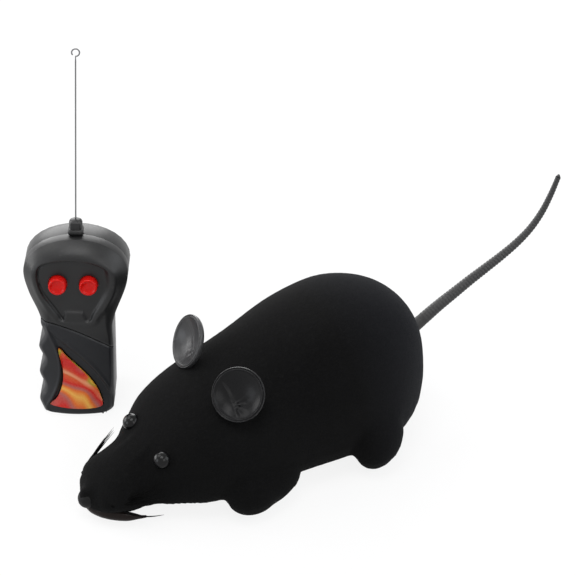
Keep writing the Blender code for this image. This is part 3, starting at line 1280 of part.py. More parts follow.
def rear_cover(handset, floor, finishes):
    """Rear shell with the battery opening and the screw tubes."""
    rings = rear_rings(0.0, HANDSET_HALF_DEPTH, GAP / 2, HANDSET_FOOT)
    cover = solid("rear_cover", loft_mesh("rear_cover", rings), handset, finishes["case"])
    inside = rear_rings(HANDSET_WALL, HANDSET_HALF_DEPTH - BACK_THICKNESS, -MM, CAVITY_FLOOR - HANDSET_WALL)
    combine(cover, tool("rear_cavity", loft_mesh("rear_cavity", inside), handset), "DIFFERENCE")
    pad_z = door_top() + HANDSET_TONGUE_LENGTH / 2
    pad_size = (2 * HANDSET_TONGUE_HALF_WIDTH + 4 * MM, 2.6 * MM, HANDSET_TONGUE_LENGTH + 3 * MM)
    pad_y = HANDSET_HALF_DEPTH - HANDSET_DOOR_THICKNESS - GAP - pad_size[1] / 2
    pad = box_mesh("tongue_pad", pad_size)
    combine(cover, tool("tongue_pad", pad, handset, (0, pad_y + 0.8 * MM, pad_z + 0.6 * MM)), "UNION")
    away = (math.radians(-90), 0, 0)
    for side, word in ((-1, "left"), (1, "right")):
        x = side * CASE_SCREW_X
        tube = rod_mesh(word + "_case_tube", CASE_POST_RADIUS + 0.6 * MM, HANDSET_HALF_DEPTH - MM, 14)
        combine(cover, tool(word + "_case_tube", tube, handset, (x, GAP / 2, CASE_SCREW_Z), away), "UNION")
    combine(cover, floor, "DIFFERENCE")
    recess = flat_cutter("tongue_recess", handset, [tongue_outline(GAP)],
                         -HANDSET_HALF_DEPTH - 2 * MM, 2 * MM + HANDSET_DOOR_THICKNESS + GAP)
    combine(cover, recess, "DIFFERENCE")
    low = door_bottom() - GAP
    high = door_top() - 0.6 * MM
    opening = box_mesh("cell_opening", (2 * HANDSET_DOOR_HALF_WIDTH + 2 * GAP, 6 * MM, high - low))
    combine(cover, tool("cell_opening", opening, handset, (0, HANDSET_HALF_DEPTH, (low + high) / 2)),
            "DIFFERENCE")
    for side, word in ((-1, "left"), (1, "right")):
        x = side * CASE_SCREW_X
        head = rod_mesh(word + "_head_well", CASE_SCREW_RADIUS + GAP, 10 * MM, 14)
        combine(cover, tool(word + "_head_well", head, handset, (x, CASE_HEAD_Y, CASE_SCREW_Z), away),
                "DIFFERENCE")
        shank = rod_mesh(word + "_shank_hole", CASE_SHANK_RADIUS + GAP, 12 * MM, 12)
        combine(cover, tool(word + "_shank_hole", shank, handset, (x, -MM, CASE_SCREW_Z), away),
                "DIFFERENCE")
    bore = rod_mesh("tongue_bore", CASE_SHANK_RADIUS + GAP, 12 * MM, 12)
    combine(cover, tool("tongue_bore", bore, handset, (0, 4 * MM, tongue_screw_height()), away),
            "DIFFERENCE")
    boss_room(cover, handset)


CASE_HEAD_Y = 4.6 * MM


def tongue_screw_height():
    """Height of the screw in the battery door's tongue."""
    return door_top() + HANDSET_TONGUE_LENGTH - 3.0 * MM


def handset_buttons(handset, finishes):
    """Two dished buttons with flanges behind the face."""
    back = HANDSET_HALF_DEPTH - FACE_THICKNESS - GAP
    top = HANDSET_HALF_DEPTH - PANEL_RECESS + BUTTON_PROUD
    for side, word in ((-1, "left"), (1, "right")):
        x = BUTTON_SHIFT + side * BUTTON_SPACING / 2
        axis = empty(word + "_button_axis", (x, 0, BUTTON_HEIGHT), handset)
        radius = BUTTON_RADIUS
        flange = radius + 0.9 * MM
        profile = [(0.0, top - 0.35 * MM), (0.62 * radius, top - 0.3 * MM), (0.76 * radius, top),
                   (radius - 0.4 * MM, top), (radius, top - 0.4 * MM), (radius, back), (flange, back),
                   (flange, back - BUTTON_FLANGE), (0.0, back - BUTTON_FLANGE)]
        name = word + "_button"
        turned(solid(name, profile_mesh(name, profile), axis, finishes["button"], (0, 0, 0),
                     (math.radians(90), 0, 0)), 28)


def antenna(handset, finishes):
    """Stepped boss clamped between the covers, and the wire with its end loop."""
    floor = HANDSET_HEIGHT - HANDSET_WALL - GAP
    foot = HANDSET_HEIGHT + GAP
    collar = BOSS_COLLAR_RADIUS
    neck = BOSS_NECK_RADIUS
    top = foot + BOSS_COLLAR_HEIGHT + BOSS_NECK_HEIGHT
    hole = WIRE_RADIUS + GAP
    profile = [(hole, top), (neck - 0.3 * MM, top), (neck, top - 0.3 * MM), (neck, foot + BOSS_COLLAR_HEIGHT),
               (collar - 0.4 * MM, foot + BOSS_COLLAR_HEIGHT), (collar, foot + BOSS_COLLAR_HEIGHT - 0.6 * MM),
               (collar, foot), (neck, foot), (neck, floor - 0.2 * MM), (collar + 0.4 * MM, floor - 0.2 * MM),
               (collar + 0.4 * MM, floor - 1.2 * MM), (hole, floor - 1.2 * MM), (hole, top)]
    turned(solid("antenna_base", profile_mesh("antenna_base", profile), handset, finishes["case"]), 20)
    points = [Vector((0, 0, floor)), Vector((0, 0, top + MM))]
    way = Vector((math.sin(ANTENNA_LEAN), 0, math.cos(ANTENNA_LEAN)))
    across = Vector((way.z, 0, -way.x))
    reach = ANTENNA_TOP - LOOP_RADIUS - points[-1].z
    start = points[-1]
    points += [start + way * reach * share for share in (0.3, 0.6, 0.9)]
    loop_centre = start + way * (reach + LOOP_RADIUS)
    turns = 20
    for i in range(turns + 1):
        angle = -math.pi / 2 + LOOP_TURN * i / turns
        points.append(loop_centre + LOOP_RADIUS * (math.cos(angle) * across + math.sin(angle) * way))
    wire = tube_mesh("antenna_wire", points, [WIRE_RADIUS] * len(points))
    solid("antenna_wire", wire, handset, finishes["wire"])
    mouth = points[-1] - points[5]
    print("antenna loop, least gap to itself in mm", round((mouth.length - 2 * WIRE_RADIUS) / MM, 2))


def handset_inside(handset, finishes):
    """Board, tact switches, crystal, cells, contacts, door and screws."""
    flat = (math.radians(90), 0, 0)
    back = -PCB_FRONT + PCB_THICKNESS
    height = PCB_TOP - PCB_BOTTOM
    board = box_mesh("transmitter_board", (2 * PCB_HALF_WIDTH, PCB_THICKNESS, height))
    solid("transmitter_board", board, handset, finishes["board"],
          (0, back - PCB_THICKNESS / 2, PCB_BOTTOM + height / 2))
    seat = PCB_FRONT + GAP
    for side, word in ((-1, "left"), (1, "right")):
        name = word + "_tact_switch"
        place = (BUTTON_SHIFT + side * BUTTON_SPACING / 2, -seat, BUTTON_HEIGHT)
        body = box_mesh(name, (TACT_SIZE, TACT_SIZE, TACT_HEIGHT), (0, 0, TACT_HEIGHT / 2))
        switch = solid(name, body, handset, finishes["chip"], place, flat)
        stem = rod_mesh(name + "_stem", 1.6 * MM, TACT_HEIGHT + 0.3 * MM, 12)
        combine(switch, tool(name + "_stem", stem, handset, place, flat), "UNION")
    crystal = box_mesh("crystal", CRYSTAL_SIZE, (0, -CRYSTAL_SIZE[1] / 2, 0), 0.4 * MM, 1)
    solid("crystal", crystal, handset, finishes["steel"], (0, -seat, PCB_TOP - 24 * MM))
    offset = CELL_RADIUS + CELL_SPACING / 2
    middle = HANDSET_CELL_START + CELL_LENGTH / 2
    cell("handset_cell_left", handset, finishes["cell"], (-offset, HANDSET_CELL_Y, middle), (0, 0, 0))
    cell("handset_cell_right", handset, finishes["cell"], (offset, HANDSET_CELL_Y, middle),
         (math.radians(180), 0, 0))
    wide = 2 * CELL_RADIUS
    for word, z in (("bottom", HANDSET_CELL_START - CONTACT_THICKNESS / 2 - GAP),
                    ("top", HANDSET_CELL_START + CELL_LENGTH + CONTACT_THICKNESS / 2 + GAP)):
        name = "handset_contact_" + word
        strip = box_mesh(name, (2 * wide, 8 * MM, CONTACT_THICKNESS))
        solid(name, strip, handset, finishes["steel"], (0, HANDSET_CELL_Y, z))
    handset_door(handset, finishes)
    for side, word in ((-1, "left"), (1, "right")):
        screw(f"case_screw_{word}", handset, finishes["steel"],
              (side * CASE_SCREW_X, CASE_HEAD_Y + GAP, CASE_SCREW_Z), flat, CASE_SHANK_RADIUS,
              CASE_SCREW_RADIUS, 8.0 * MM)


def handset_door(handset, finishes):
    """Battery door, hinged at its lower edge, with its captive screw."""
    thick = HANDSET_DOOR_THICKNESS
    hinge_z = door_bottom() + HINGE_BACKSET
    hinge_y = HANDSET_HALF_DEPTH - thick / 2
    axis = empty("handset_door_axis", (0, hinge_y, hinge_z), handset)
    flat = (math.radians(90), 0, 0)
    leaf = sheet_mesh("handset_battery_door", [tongue_outline(0.0)], thick)
    door = solid("handset_battery_door", leaf, axis, finishes["case"], (0, thick / 2, -hinge_z), flat)
    length = 2 * HANDSET_DOOR_HALF_WIDTH
    knuckle = rod_mesh("handset_knuckle", thick / 2, length, 12)
    combine(door, tool("handset_knuckle", knuckle, axis, (-length / 2, 0, 0), (0, math.radians(90), 0)),
            "UNION")
    hole = rod_mesh("tongue_hole", CASE_SHANK_RADIUS + GAP, 10 * MM, 12)
    height = tongue_screw_height()
    combine(door, tool("tongue_hole", hole, handset, (0, HANDSET_HALF_DEPTH + 5 * MM, height), flat),
            "DIFFERENCE")
    screw("handset_door_screw", axis, finishes["steel"], (0, thick / 2 + GAP, height - hinge_z), flat,
          CASE_SHANK_RADIUS, CASE_SCREW_RADIUS, 4.6 * MM)


def all_finishes():
    """Every material of the toy."""
    return {
        "flock": material("black flock", (0.010, 0.010, 0.011), 0.95),
        "vinyl": material("black vinyl", (0.035, 0.035, 0.037), 0.55),
        "gloss": material("gloss black", (0.012, 0.011, 0.011), 0.12),
        "tail": material("tail rubber", (0.028, 0.028, 0.030), 0.6),
        "base": material("black base plastic", (0.03, 0.03, 0.03), 0.4),
        "wheel": material("grey wheel plastic", (0.09, 0.09, 0.09), 0.5),
        "rubber": material("tyre rubber", (0.02, 0.02, 0.02), 0.85),
        "steel": material("zinc plated steel", (0.6, 0.6, 0.6), 0.35, 1.0),
        "brass": material("brass", (0.72, 0.5, 0.2), 0.3, 1.0),
        "gear": material("white gear nylon", (0.75, 0.74, 0.7), 0.45),
        "housing": material("gearbox plastic", (0.12, 0.12, 0.13), 0.5),
        "motor": material("motor can", (0.55, 0.55, 0.56), 0.3, 1.0),
        "board": material("board green", (0.02, 0.16, 0.06), 0.5),
        "chip": material("chip black", (0.015, 0.015, 0.016), 0.5),
        "knob": material("knob grey", (0.3, 0.3, 0.3), 0.5),
        "cell": material("cell jacket", (0.25, 0.26, 0.28), 0.35),
        "case": material("case black", (0.04, 0.04, 0.042), 0.45),
        "face": material("face black", (0.045, 0.045, 0.047), 0.45),
        "grip": material("grip charcoal", (0.05, 0.052, 0.058), 0.5),
        "button": material("button red", (0.62, 0.012, 0.01), 0.3),
        "insert": material("insert orange", (0.75, 0.2, 0.03), 0.25),
        "wire": material("antenna wire", (0.22, 0.22, 0.22), 0.35, 1.0),
    }


def build_mouse(root, finishes):
    """All pieces of the mouse."""
    mouse = empty("mouse_origin", (0, 0, 0), root)
    mouse_shell(mouse, finishes["flock"])
    base_plate(mouse, finishes["base"])
    for name, place in ear_places().items():
        ear(name, mouse, finishes["vinyl"], place)
    for side, word in ((-1, "left"), (1, "right")):
        bead = ball_mesh(word + "_eye", [2 * EYE_RADIUS] * 3, 10, 16)
        solid(word + "_eye", bead, mouse, finishes["gloss"], eye_centre(side))
        whiskers(word + "_whiskers", side, mouse, finishes["vinyl"])
    solid("nose", ball_mesh("nose", NOSE_SIZE, 10, 16), mouse, finishes["gloss"], (NOSE_X, 0, NOSE_Z))
    jaw(mouse, finishes["gloss"])
    tail(mouse, finishes["tail"])
    base_screws(mouse, finishes["steel"])
    caster(mouse, finishes["base"], finishes["steel"], finishes["rubber"])
    mouse_power(mouse, finishes)
    drive(mouse, finishes)
    mouse_electronics(mouse, finishes)


def build_handset(root, finishes):
    """All pieces of the handset, leaning back on its slanted base."""
    rise = -HANDSET_HALF_DEPTH * math.sin(HANDSET_LEAN)
    handset = empty("handset_origin", (HANDSET_X, HANDSET_Y, rise), root,
                    Euler((-HANDSET_LEAN, 0, HANDSET_TURN)))
    slab = box_mesh("floor_slab", (90 * MM, 90 * MM, 40 * MM), (0, 0, -20 * MM))
    floor = tool("floor_slab", slab, root, (HANDSET_X, HANDSET_Y, 0))
    handset_covers(handset, floor, finishes)
    handset_buttons(handset, finishes)
    antenna(handset, finishes)
    handset_inside(handset, finishes)


def centre_on_floor(root):
    """Move the whole toy so that its box's bottom centre is the origin."""
    bpy.context.view_layer.update()
    graph = bpy.context.evaluated_depsgraph_get()
    low = Vector((1e9, 1e9, 1e9))
    high = -low
    for item in PARTS.objects:
        if item.type != "MESH":
            continue
        shape = item.evaluated_get(graph)
        for vertex in shape.data.vertices:
            place = shape.matrix_world @ vertex.co
            low = Vector(min(a, b) for a, b in zip(low, place))
            high = Vector(max(a, b) for a, b in zip(high, place))
    root.location -= Vector(((low.x + high.x) / 2, (low.y + high.y) / 2, low.z))
    bpy.context.view_layer.update()
    print("size in mm", [round(edge / MM, 2) for edge in high - low])
    for item in PARTS.objects:
        if item.type == "EMPTY":
            place = item.matrix_world.translation
            print(item.name, [round(value, 6) for value in place])


clear_scene()
PARTS = new_collection(TOY)
CUTTERS = new_collection("cutters")
ORIGIN = empty("toy_origin", (0, 0, 0))
FINISHES = all_finishes()
build_mouse(ORIGIN, FINISHES)
build_handset(ORIGIN, FINISHES)
centre_on_floor(ORIGIN)
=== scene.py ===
"""Looks of the remote control cat toy: a flocked mouse on wheels and its two button handset.

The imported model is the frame. Sizes are in millimetres inside the classes and in metres in Blender. The mouse lies
along X with its nose toward -X, and the handset stands on its slanted base behind the mouse's head.
"""
import json
import logging
import math
from dataclasses import dataclass
from enum import Enum
from typing import Optional, Sequence

import bpy
import numpy as np
from mathutils import Euler, Matrix, Vector

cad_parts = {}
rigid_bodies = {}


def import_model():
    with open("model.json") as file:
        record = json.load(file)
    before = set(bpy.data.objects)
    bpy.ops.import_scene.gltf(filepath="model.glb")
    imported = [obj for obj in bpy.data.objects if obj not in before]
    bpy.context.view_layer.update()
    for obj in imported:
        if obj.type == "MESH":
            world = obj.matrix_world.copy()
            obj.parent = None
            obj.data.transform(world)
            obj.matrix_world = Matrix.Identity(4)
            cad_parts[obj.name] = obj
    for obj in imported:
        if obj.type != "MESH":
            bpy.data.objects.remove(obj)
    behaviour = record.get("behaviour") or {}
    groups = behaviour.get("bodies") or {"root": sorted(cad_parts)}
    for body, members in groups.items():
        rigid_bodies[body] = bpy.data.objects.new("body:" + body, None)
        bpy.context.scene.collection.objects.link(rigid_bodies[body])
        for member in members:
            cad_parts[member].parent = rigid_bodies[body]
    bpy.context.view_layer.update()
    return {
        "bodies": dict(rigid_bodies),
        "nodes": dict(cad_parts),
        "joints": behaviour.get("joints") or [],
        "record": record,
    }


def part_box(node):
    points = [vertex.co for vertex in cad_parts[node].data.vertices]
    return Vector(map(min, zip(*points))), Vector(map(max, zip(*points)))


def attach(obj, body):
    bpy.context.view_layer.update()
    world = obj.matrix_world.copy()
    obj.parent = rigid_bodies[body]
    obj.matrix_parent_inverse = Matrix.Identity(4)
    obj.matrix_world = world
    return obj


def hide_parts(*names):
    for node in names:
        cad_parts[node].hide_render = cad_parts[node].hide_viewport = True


MM = 0.001
LOG = logging.getLogger("cat_toy")
Pair = tuple[float, float]
Triple = tuple[float, float, float]
Colour = tuple[float, float, float]


# ---------------------------------------------------------------- small helpers

def eased(values: np.ndarray) -> np.ndarray:
    """Ease an array or a number from 0 to 1 with level ends."""
    values = np.clip(values, 0.0, 1.0)
    return values * values * (3.0 - 2.0 * values)


def ramp(values: np.ndarray, start: float, width: float) -> np.ndarray:
    """Ease from 0 to 1 over a width that begins at a start."""
    return eased((values - start) / width)


def bell(values: np.ndarray, width: float, power: int = 2) -> np.ndarray:
    """A bell curve of height 1 about zero."""
    return np.exp(-(values / width) ** power)


def tilted(x: float, y: float = 0.0, z: float = 0.0) -> Matrix:
    """A turn by Euler angles in degrees."""
    return Euler([math.radians(angle) for angle in (x, y, z)]).to_matrix().to_4x4()


def stood_on(foot: Vector, way: Vector) -> Matrix:
    """The place of a thing that stands on a foot, in metres, with its Z along a way."""
    return Matrix.Translation(foot) @ way.to_track_quat("Z", "Y").to_matrix().to_4x4()


def smooth_line(knots: Sequence[Sequence[float]], steps: int, closed: bool = False) -> np.ndarray:
    """Run a Catmull-Rom curve through points.

    Args:
        knots: The points, each of any one length.
        steps: Points made for each span.
        closed: Whether the last point runs on to the first.

    Returns:
        The points of the curve, one to a row.
    """
    pts = np.array(knots, float)
    if closed:
        pts = np.vstack([pts[-1:], pts, pts[:2]])
    else:
        pts = np.vstack([pts[:1], pts, pts[-1:]])
    rows = []
    for a, b, c, d in zip(pts, pts[1:], pts[2:], pts[3:]):
        for i in range(steps):
            t = i / steps
            rows.append(0.5 * (2 * b + (c - a) * t + (2 * a - 5 * b + 4 * c - d) * t * t
                               + (3 * b - a - 3 * c + d) * t ** 3))
    if not closed:
        rows.append(pts[-2])
    return np.array(rows)


def line_distance(points: np.ndarray, line: np.ndarray, closed: bool) -> np.ndarray:
    """Distance of flat points from a polyline.

    Args:
        points: Points, one (x, z) to a row.
        line: Points of the line in order.
        closed: Whether the line returns to its first point.

    Returns:
        One distance for each point.
    """
    ends = np.roll(line, -1, axis=0) if closed else line[1:]
    starts = line if closed else line[:-1]
    best = np.full(len(points), 1e9)
    for a, b in zip(starts, ends):
        span = b - a
        share = np.clip(((points - a) @ span) / max(1e-12, float(span @ span)), 0.0, 1.0)
        best = np.minimum(best, np.linalg.norm(points - a - share[:, None] * span, axis=1))
    return best


def inside(points: np.ndarray, loop: np.ndarray) -> np.ndarray:
    """Whether each flat point is inside a closed loop.

    Args:
        points: Points, one (x, z) to a row.
        loop: Points of the loop in order.

    Returns:
        One truth value for each point.
    """
    result = np.zeros(len(points), bool)
    for a, b in zip(loop, np.roll(loop, -1, axis=0)):
        crosses = (a[1] > points[:, 1]) != (b[1] > points[:, 1])
        if crosses.any() and abs(b[1] - a[1]) > 1e-12:
            at = a[0] + (points[:, 1] - a[1]) * (b[0] - a[0]) / (b[1] - a[1])
            result ^= crosses & (points[:, 0] < at)
    return result


def depth_inside(points: np.ndarray, loop: np.ndarray) -> np.ndarray:
    """Distance from a loop, counted positive inside it."""
    return line_distance(points, loop, True) * np.where(inside(points, loop), 1.0, -1.0)


class Bench:
    """Hand tools: every piece is modelled here with operators, one object at a time."""

    @staticmethod
    def clear() -> None:
        """Leave edit mode and deselect everything."""
        if bpy.context.mode != "OBJECT":
            bpy.ops.object.mode_set(mode="OBJECT")
        bpy.ops.object.select_all(action="DESELECT")

    @staticmethod
    def take(item: bpy.types.Object) -> bpy.types.Object:
        """Make an object the only selected and active one.

        Args:
            item: The object.

        Returns:
            The same object.
        """
        Bench.clear()
        item.select_set(True)
        bpy.context.view_layer.objects.active = item
        return item

    @staticmethod
    def named(name: str) -> bpy.types.Object:
        """Name the object that an operator has just added.

        Args:
            name: Its name.

        Returns:
            The object.
        """
        if bpy.context.mode != "OBJECT":
            bpy.ops.object.mode_set(mode="OBJECT")
        item = bpy.context.active_object
        item.name = name
        item.data.name = name
        return item

    @staticmethod
    def open_up() -> None:
        """Enter edit mode with everything selected."""
        bpy.ops.object.mode_set(mode="EDIT")
        bpy.ops.mesh.select_all(action="SELECT")

    @staticmethod
    def close_up(item: bpy.types.Object, distance: float = 1e-6) -> bpy.types.Object:
        """Merge doubled points and turn the faces outward.

        Args:
            item: The object.
            distance: How near doubled points are, in metres.

        Returns:
            The same object.
        """
        Bench.take(item)
        Bench.open_up()
        bpy.ops.mesh.remove_doubles(threshold=distance)
        bpy.ops.mesh.normals_make_consistent(inside=False)
        bpy.ops.object.mode_set(mode="OBJECT")
        return item

    @staticmethod
    def modify(item: bpy.types.Object, kind: str, **values: object) -> bpy.types.Object:
        """Add one modifier and apply it.

        Args:
            item: The object.
            kind: The modifier's type.
            **values: Its settings.

        Returns:
            The same object.
        """
        Bench.take(item)
        bpy.ops.object.modifier_add(type=kind)
        step = item.modifiers[-1]
        for key, value in values.items():
            setattr(step, key, value)
        bpy.ops.object.modifier_apply(modifier=step.name)
        return item

    @staticmethod
    def shade(item: bpy.types.Object, degrees: float = 35.0) -> bpy.types.Object:
        """Shade smooth but for edges sharper than an angle.

        Args:
            item: The object.
            degrees: The angle.

        Returns:
            The same object.
        """
        Bench.take(item)
        bpy.ops.object.shade_smooth_by_angle(angle=math.radians(degrees))
        return item

    @staticmethod
    def settle(item: bpy.types.Object, matrix: Matrix) -> bpy.types.Object:
        """Put an object where a matrix says, with the place in its mesh.

        Args:
            item: The object.
            matrix: The place.

        Returns:
            The same object.
        """
        Bench.take(item)
        item.matrix_world = matrix @ item.matrix_world
        bpy.ops.object.transform_apply(location=True, rotation=True, scale=True)
        return item

    @staticmethod
    def join(first: bpy.types.Object, *others: bpy.types.Object) -> bpy.types.Object:
        """Join objects into the first one.

        Args:
            first: The one that stays.
            *others: The ones that go into it.

        Returns:
            The first object.
        """
        Bench.take(first)
        for item in others:
            item.select_set(True)
        bpy.ops.object.join()
        return first

    @staticmethod
    def carve(item: bpy.types.Object, cutter: bpy.types.Object,
              operation: str = "DIFFERENCE") -> bpy.types.Object:
        """Cut an object with another and clear the other away.

        Args:
            item: The object.
            cutter: The other, which goes.
            operation: The kind of cut.

        Returns:
            The first object.
        """
        Bench.modify(item, "BOOLEAN", object=cutter, operation=operation, solver="EXACT")
        Bench.take(cutter)
        bpy.ops.object.delete()
        return item

    @staticmethod
    def turned(name: str, profile: Sequence[Pair], steps: int) -> bpy.types.Object:
        """Spin a profile round Z.

        Args:
            name: The object's name.
            profile: Points as (radius, height) in mm.
            steps: Steps of the full turn.

        Returns:
            A closed object round the origin.
        """
        Bench.clear()
        bpy.ops.mesh.primitive_plane_add(size=MM, location=(0, 0, 0))
        Bench.open_up()
        bpy.ops.mesh.merge(type="CENTER")
        last = (0.0, 0.0)
        for i, point in enumerate(profile):
            move = ((point[0] - last[0]) * MM, 0.0, (point[1] - last[1]) * MM)
            if i == 0:
                bpy.ops.transform.translate(value=move)
            else:
                bpy.ops.mesh.extrude_region_move(TRANSFORM_OT_translate={"value": move})
            last = point
        bpy.ops.mesh.select_all(action="SELECT")
        bpy.ops.mesh.spin(steps=steps, angle=math.tau, center=(0, 0, 0), axis=(0, 0, 1))
        item = Bench.named(name)
        return Bench.close_up(item, 2e-6)

    @staticmethod
    def tube(name: str, points: Sequence[Sequence[float]], radii: Sequence[float],
             sides: int = 3) -> bpy.types.Object:
        """A tube of changing thickness along points.

        Args:
            name: The object's name.
            points: Points in mm.
            radii: One radius for each point, in mm.
            sides: Bevel resolution; the tube has 4 sides more than twice this.

        Returns:
            The tube as a closed mesh.
        """
        Bench.clear()
        bpy.ops.curve.primitive_bezier_curve_add(location=(0, 0, 0))
        item = Bench.named(name)
        shape = item.data
        shape.splines.clear()
        line = shape.splines.new("POLY")
        line.points.add(len(points) - 1)
        for knot, place, radius in zip(line.points, points, radii):
            knot.co = (place[0] * MM, place[1] * MM, place[2] * MM, 1.0)
            knot.radius = radius
        shape.dimensions = "3D"
        shape.bevel_depth = MM
        shape.bevel_resolution = sides
        shape.use_fill_caps = True
        shape.twist_mode = "MINIMUM"
        Bench.take(item)
        bpy.ops.object.convert(target="MESH")
        return Bench.close_up(Bench.named(name), 1e-7)

    @staticmethod
    def slab(name: str, outline: Sequence[Pair], low: float, high: float) -> bpy.types.Object:
        """A flat outline in the XZ plane, as thick as from one Y to another.

        Args:
            name: The object's name.
            outline: Points as (x, z) in mm, in order.
            low: Lowest Y in mm.
            high: Highest Y in mm.

        Returns:
            A closed slab.
        """
        Bench.clear()
        bpy.ops.mesh.primitive_circle_add(vertices=len(outline), radius=MM, fill_type="NGON")
        item = Bench.named(name)
        for vertex, (x, z) in zip(item.data.vertices, outline):
            vertex.co = (x * MM, low * MM, z * MM)
        Bench.take(item)
        Bench.open_up()
        bpy.ops.mesh.extrude_region_move(TRANSFORM_OT_translate={"value": (0, (high - low) * MM, 0)})
        return Bench.close_up(Bench.named(name))

    @staticmethod
    def block(name: str, size: Triple, centre: Triple, rounding: float, segments: int = 3) -> bpy.types.Object:
        """A block with rounded edges.

        Args:
            name: The object's name.
            size: Its sides in mm.
            centre: Its middle in mm.
            rounding: Radius of its edges in mm.
            segments: Steps of each rounded edge.

        Returns:
            The block.
        """
        Bench.clear()
        bpy.ops.mesh.primitive_cube_add(size=1.0, location=tuple(c * MM for c in centre),
                                        scale=tuple(s * MM for s in size))
        item = Bench.named(name)
        Bench.take(item)
        bpy.ops.object.transform_apply(location=True, rotation=True, scale=True)
        return Bench.modify(item, "BEVEL", width=rounding * MM, segments=segments, limit_method="NONE")

    @staticmethod
    def copied(name: str, node: bpy.types.Object, rounding: float = 0.0) -> bpy.types.Object:
        """Copy a CAD node's mesh, merge it, and soften its edges.

        Args:
            name: The copy's name.
            node: The CAD node.
            rounding: Width of the softened edges in mm, or 0 to leave them.

        Returns:
            The copy, which stands free of the CAD node.
        """
        item = bpy.data.objects.new(name, node.data.copy())
        bpy.context.scene.collection.objects.link(item)
        item.data.materials.clear()
        Bench.take(item)
        Bench.open_up()
        bpy.ops.mesh.customdata_custom_splitnormals_clear()
        bpy.ops.mesh.remove_doubles(threshold=2e-6)
        bpy.ops.mesh.dissolve_limited(angle_limit=math.radians(1.5))
        bpy.ops.mesh.normals_make_consistent(inside=False)
        bpy.ops.object.mode_set(mode="OBJECT")
        if rounding:
            Bench.modify(item, "BEVEL", width=rounding * MM, segments=2, limit_method="ANGLE",
                         angle_limit=math.radians(38.0), use_clamp_overlap=True)
        return Bench.shade(item, 40.0)


# ---------------------------------------------------------------- finishes

class Effect(Enum):
    """Effects that several materials share, each one node group."""

    GRAIN = "moulded grain"
    # lighter edges by pointiness stand for worn edges, and on the ears also for a painted highlight along the rims
    WEAR_AND_HIGHLIGHT = "rubbed edges"
    DUST = "settled dust"
    FIBRE = "flock fibres"


class Nodes:
    """Makes and links the nodes of one tree."""

    def __init__(self, tree: bpy.types.NodeTree) -> None:
        """Work on a node tree."""
        self.tree = tree

    def add(self, kind: str, settings: Optional[dict] = None, **sockets: object) -> bpy.types.Node:
        """Add a node.

        Args:
            kind: The node's type, without its ShaderNode prefix.
            settings: Its properties.
            **sockets: What its inputs get, as in fill.

        Returns:
            The node.
        """
        node = self.tree.nodes.new("ShaderNode" + kind)
        for key, value in (settings or {}).items():
            setattr(node, key, value)
        return self.fill(node, **sockets)

    def fill(self, node: bpy.types.Node, **sockets: object) -> bpy.types.Node:
        """Feed inputs of a node.

        Args:
            node: The node.
            **sockets: Values, or outputs to link, by the input's name with underscores for spaces, or by "in"
                and its number.

        Returns:
            The node.
        """
        for key, value in sockets.items():
            self.feed(node.inputs[int(key[2:]) if key[2:].isdigit() else key.replace("_", " ")], value)
        return node

    def feed(self, socket: bpy.types.NodeSocket, value: object) -> None:
        """Link an output to an input, or set the input.

        Args:
            socket: The input.
            value: An output, a colour or a number.
        """
        if isinstance(value, bpy.types.NodeSocket):
            self.tree.links.new(value, socket)
        else:
            socket.default_value = value

    def blend(self, share: object, first: object, second: object) -> bpy.types.NodeSocket:
        """Mix two colours.

        Args:
            share: How much there is of the second, as a number or an output.
            first: A colour as three numbers, or an output.
            second: The same.

        Returns:
            The mixed colour.
        """
        node = self.tree.nodes.new("ShaderNodeMix")
        node.data_type = "RGBA"
        for index, value in ((0, share), (6, first), (7, second)):
            self.feed(node.inputs[index], (*value, 1.0) if isinstance(value, tuple) else value)
        return node.outputs[2]

    def calc(self, first: object, second: object, operation: str = "MULTIPLY") -> bpy.types.NodeSocket:
        """Work out a number from two.

        Args:
            first: A number or an output.
            second: The same.
            operation: What is done with them.

        Returns:
            The result.
        """
        return self.add("Math", {"operation": operation}, in0=first, in1=second).outputs[0]

    def span(self, value: bpy.types.NodeSocket, low: float, high: float, start: float = 0.0,
             end: float = 1.0) -> bpy.types.NodeSocket:
        """Map a number's span onto another, held at its ends.

        Args:
            value: The number.
            low: Where its span begins.
            high: Where its span ends.
            start: The result at the beginning.
            end: The result at the end.

        Returns:
            The result.
        """
        return self.add("MapRange", {"clamp": True}, Value=value, From_Min=low, From_Max=high, To_Min=start,
                        To_Max=end).outputs["Result"]

    def noise(self, place: bpy.types.NodeSocket, scale: object, detail: float, **more: float) -> bpy.types.NodeSocket:
        """A noise texture's value."""
        return self.add("TexNoise", Vector=place, Scale=scale, Detail=detail, **more).outputs["Fac"]

    def seen(self) -> bpy.types.NodeSocket:
        """1 on camera, mirrored and let-through rays, and 0 on others."""
        path = self.add("LightPath").outputs
        return self.calc(self.calc(path["Is Camera Ray"], path["Is Glossy Ray"], "MAXIMUM"),
                         path["Is Transmission Ray"], "MAXIMUM")


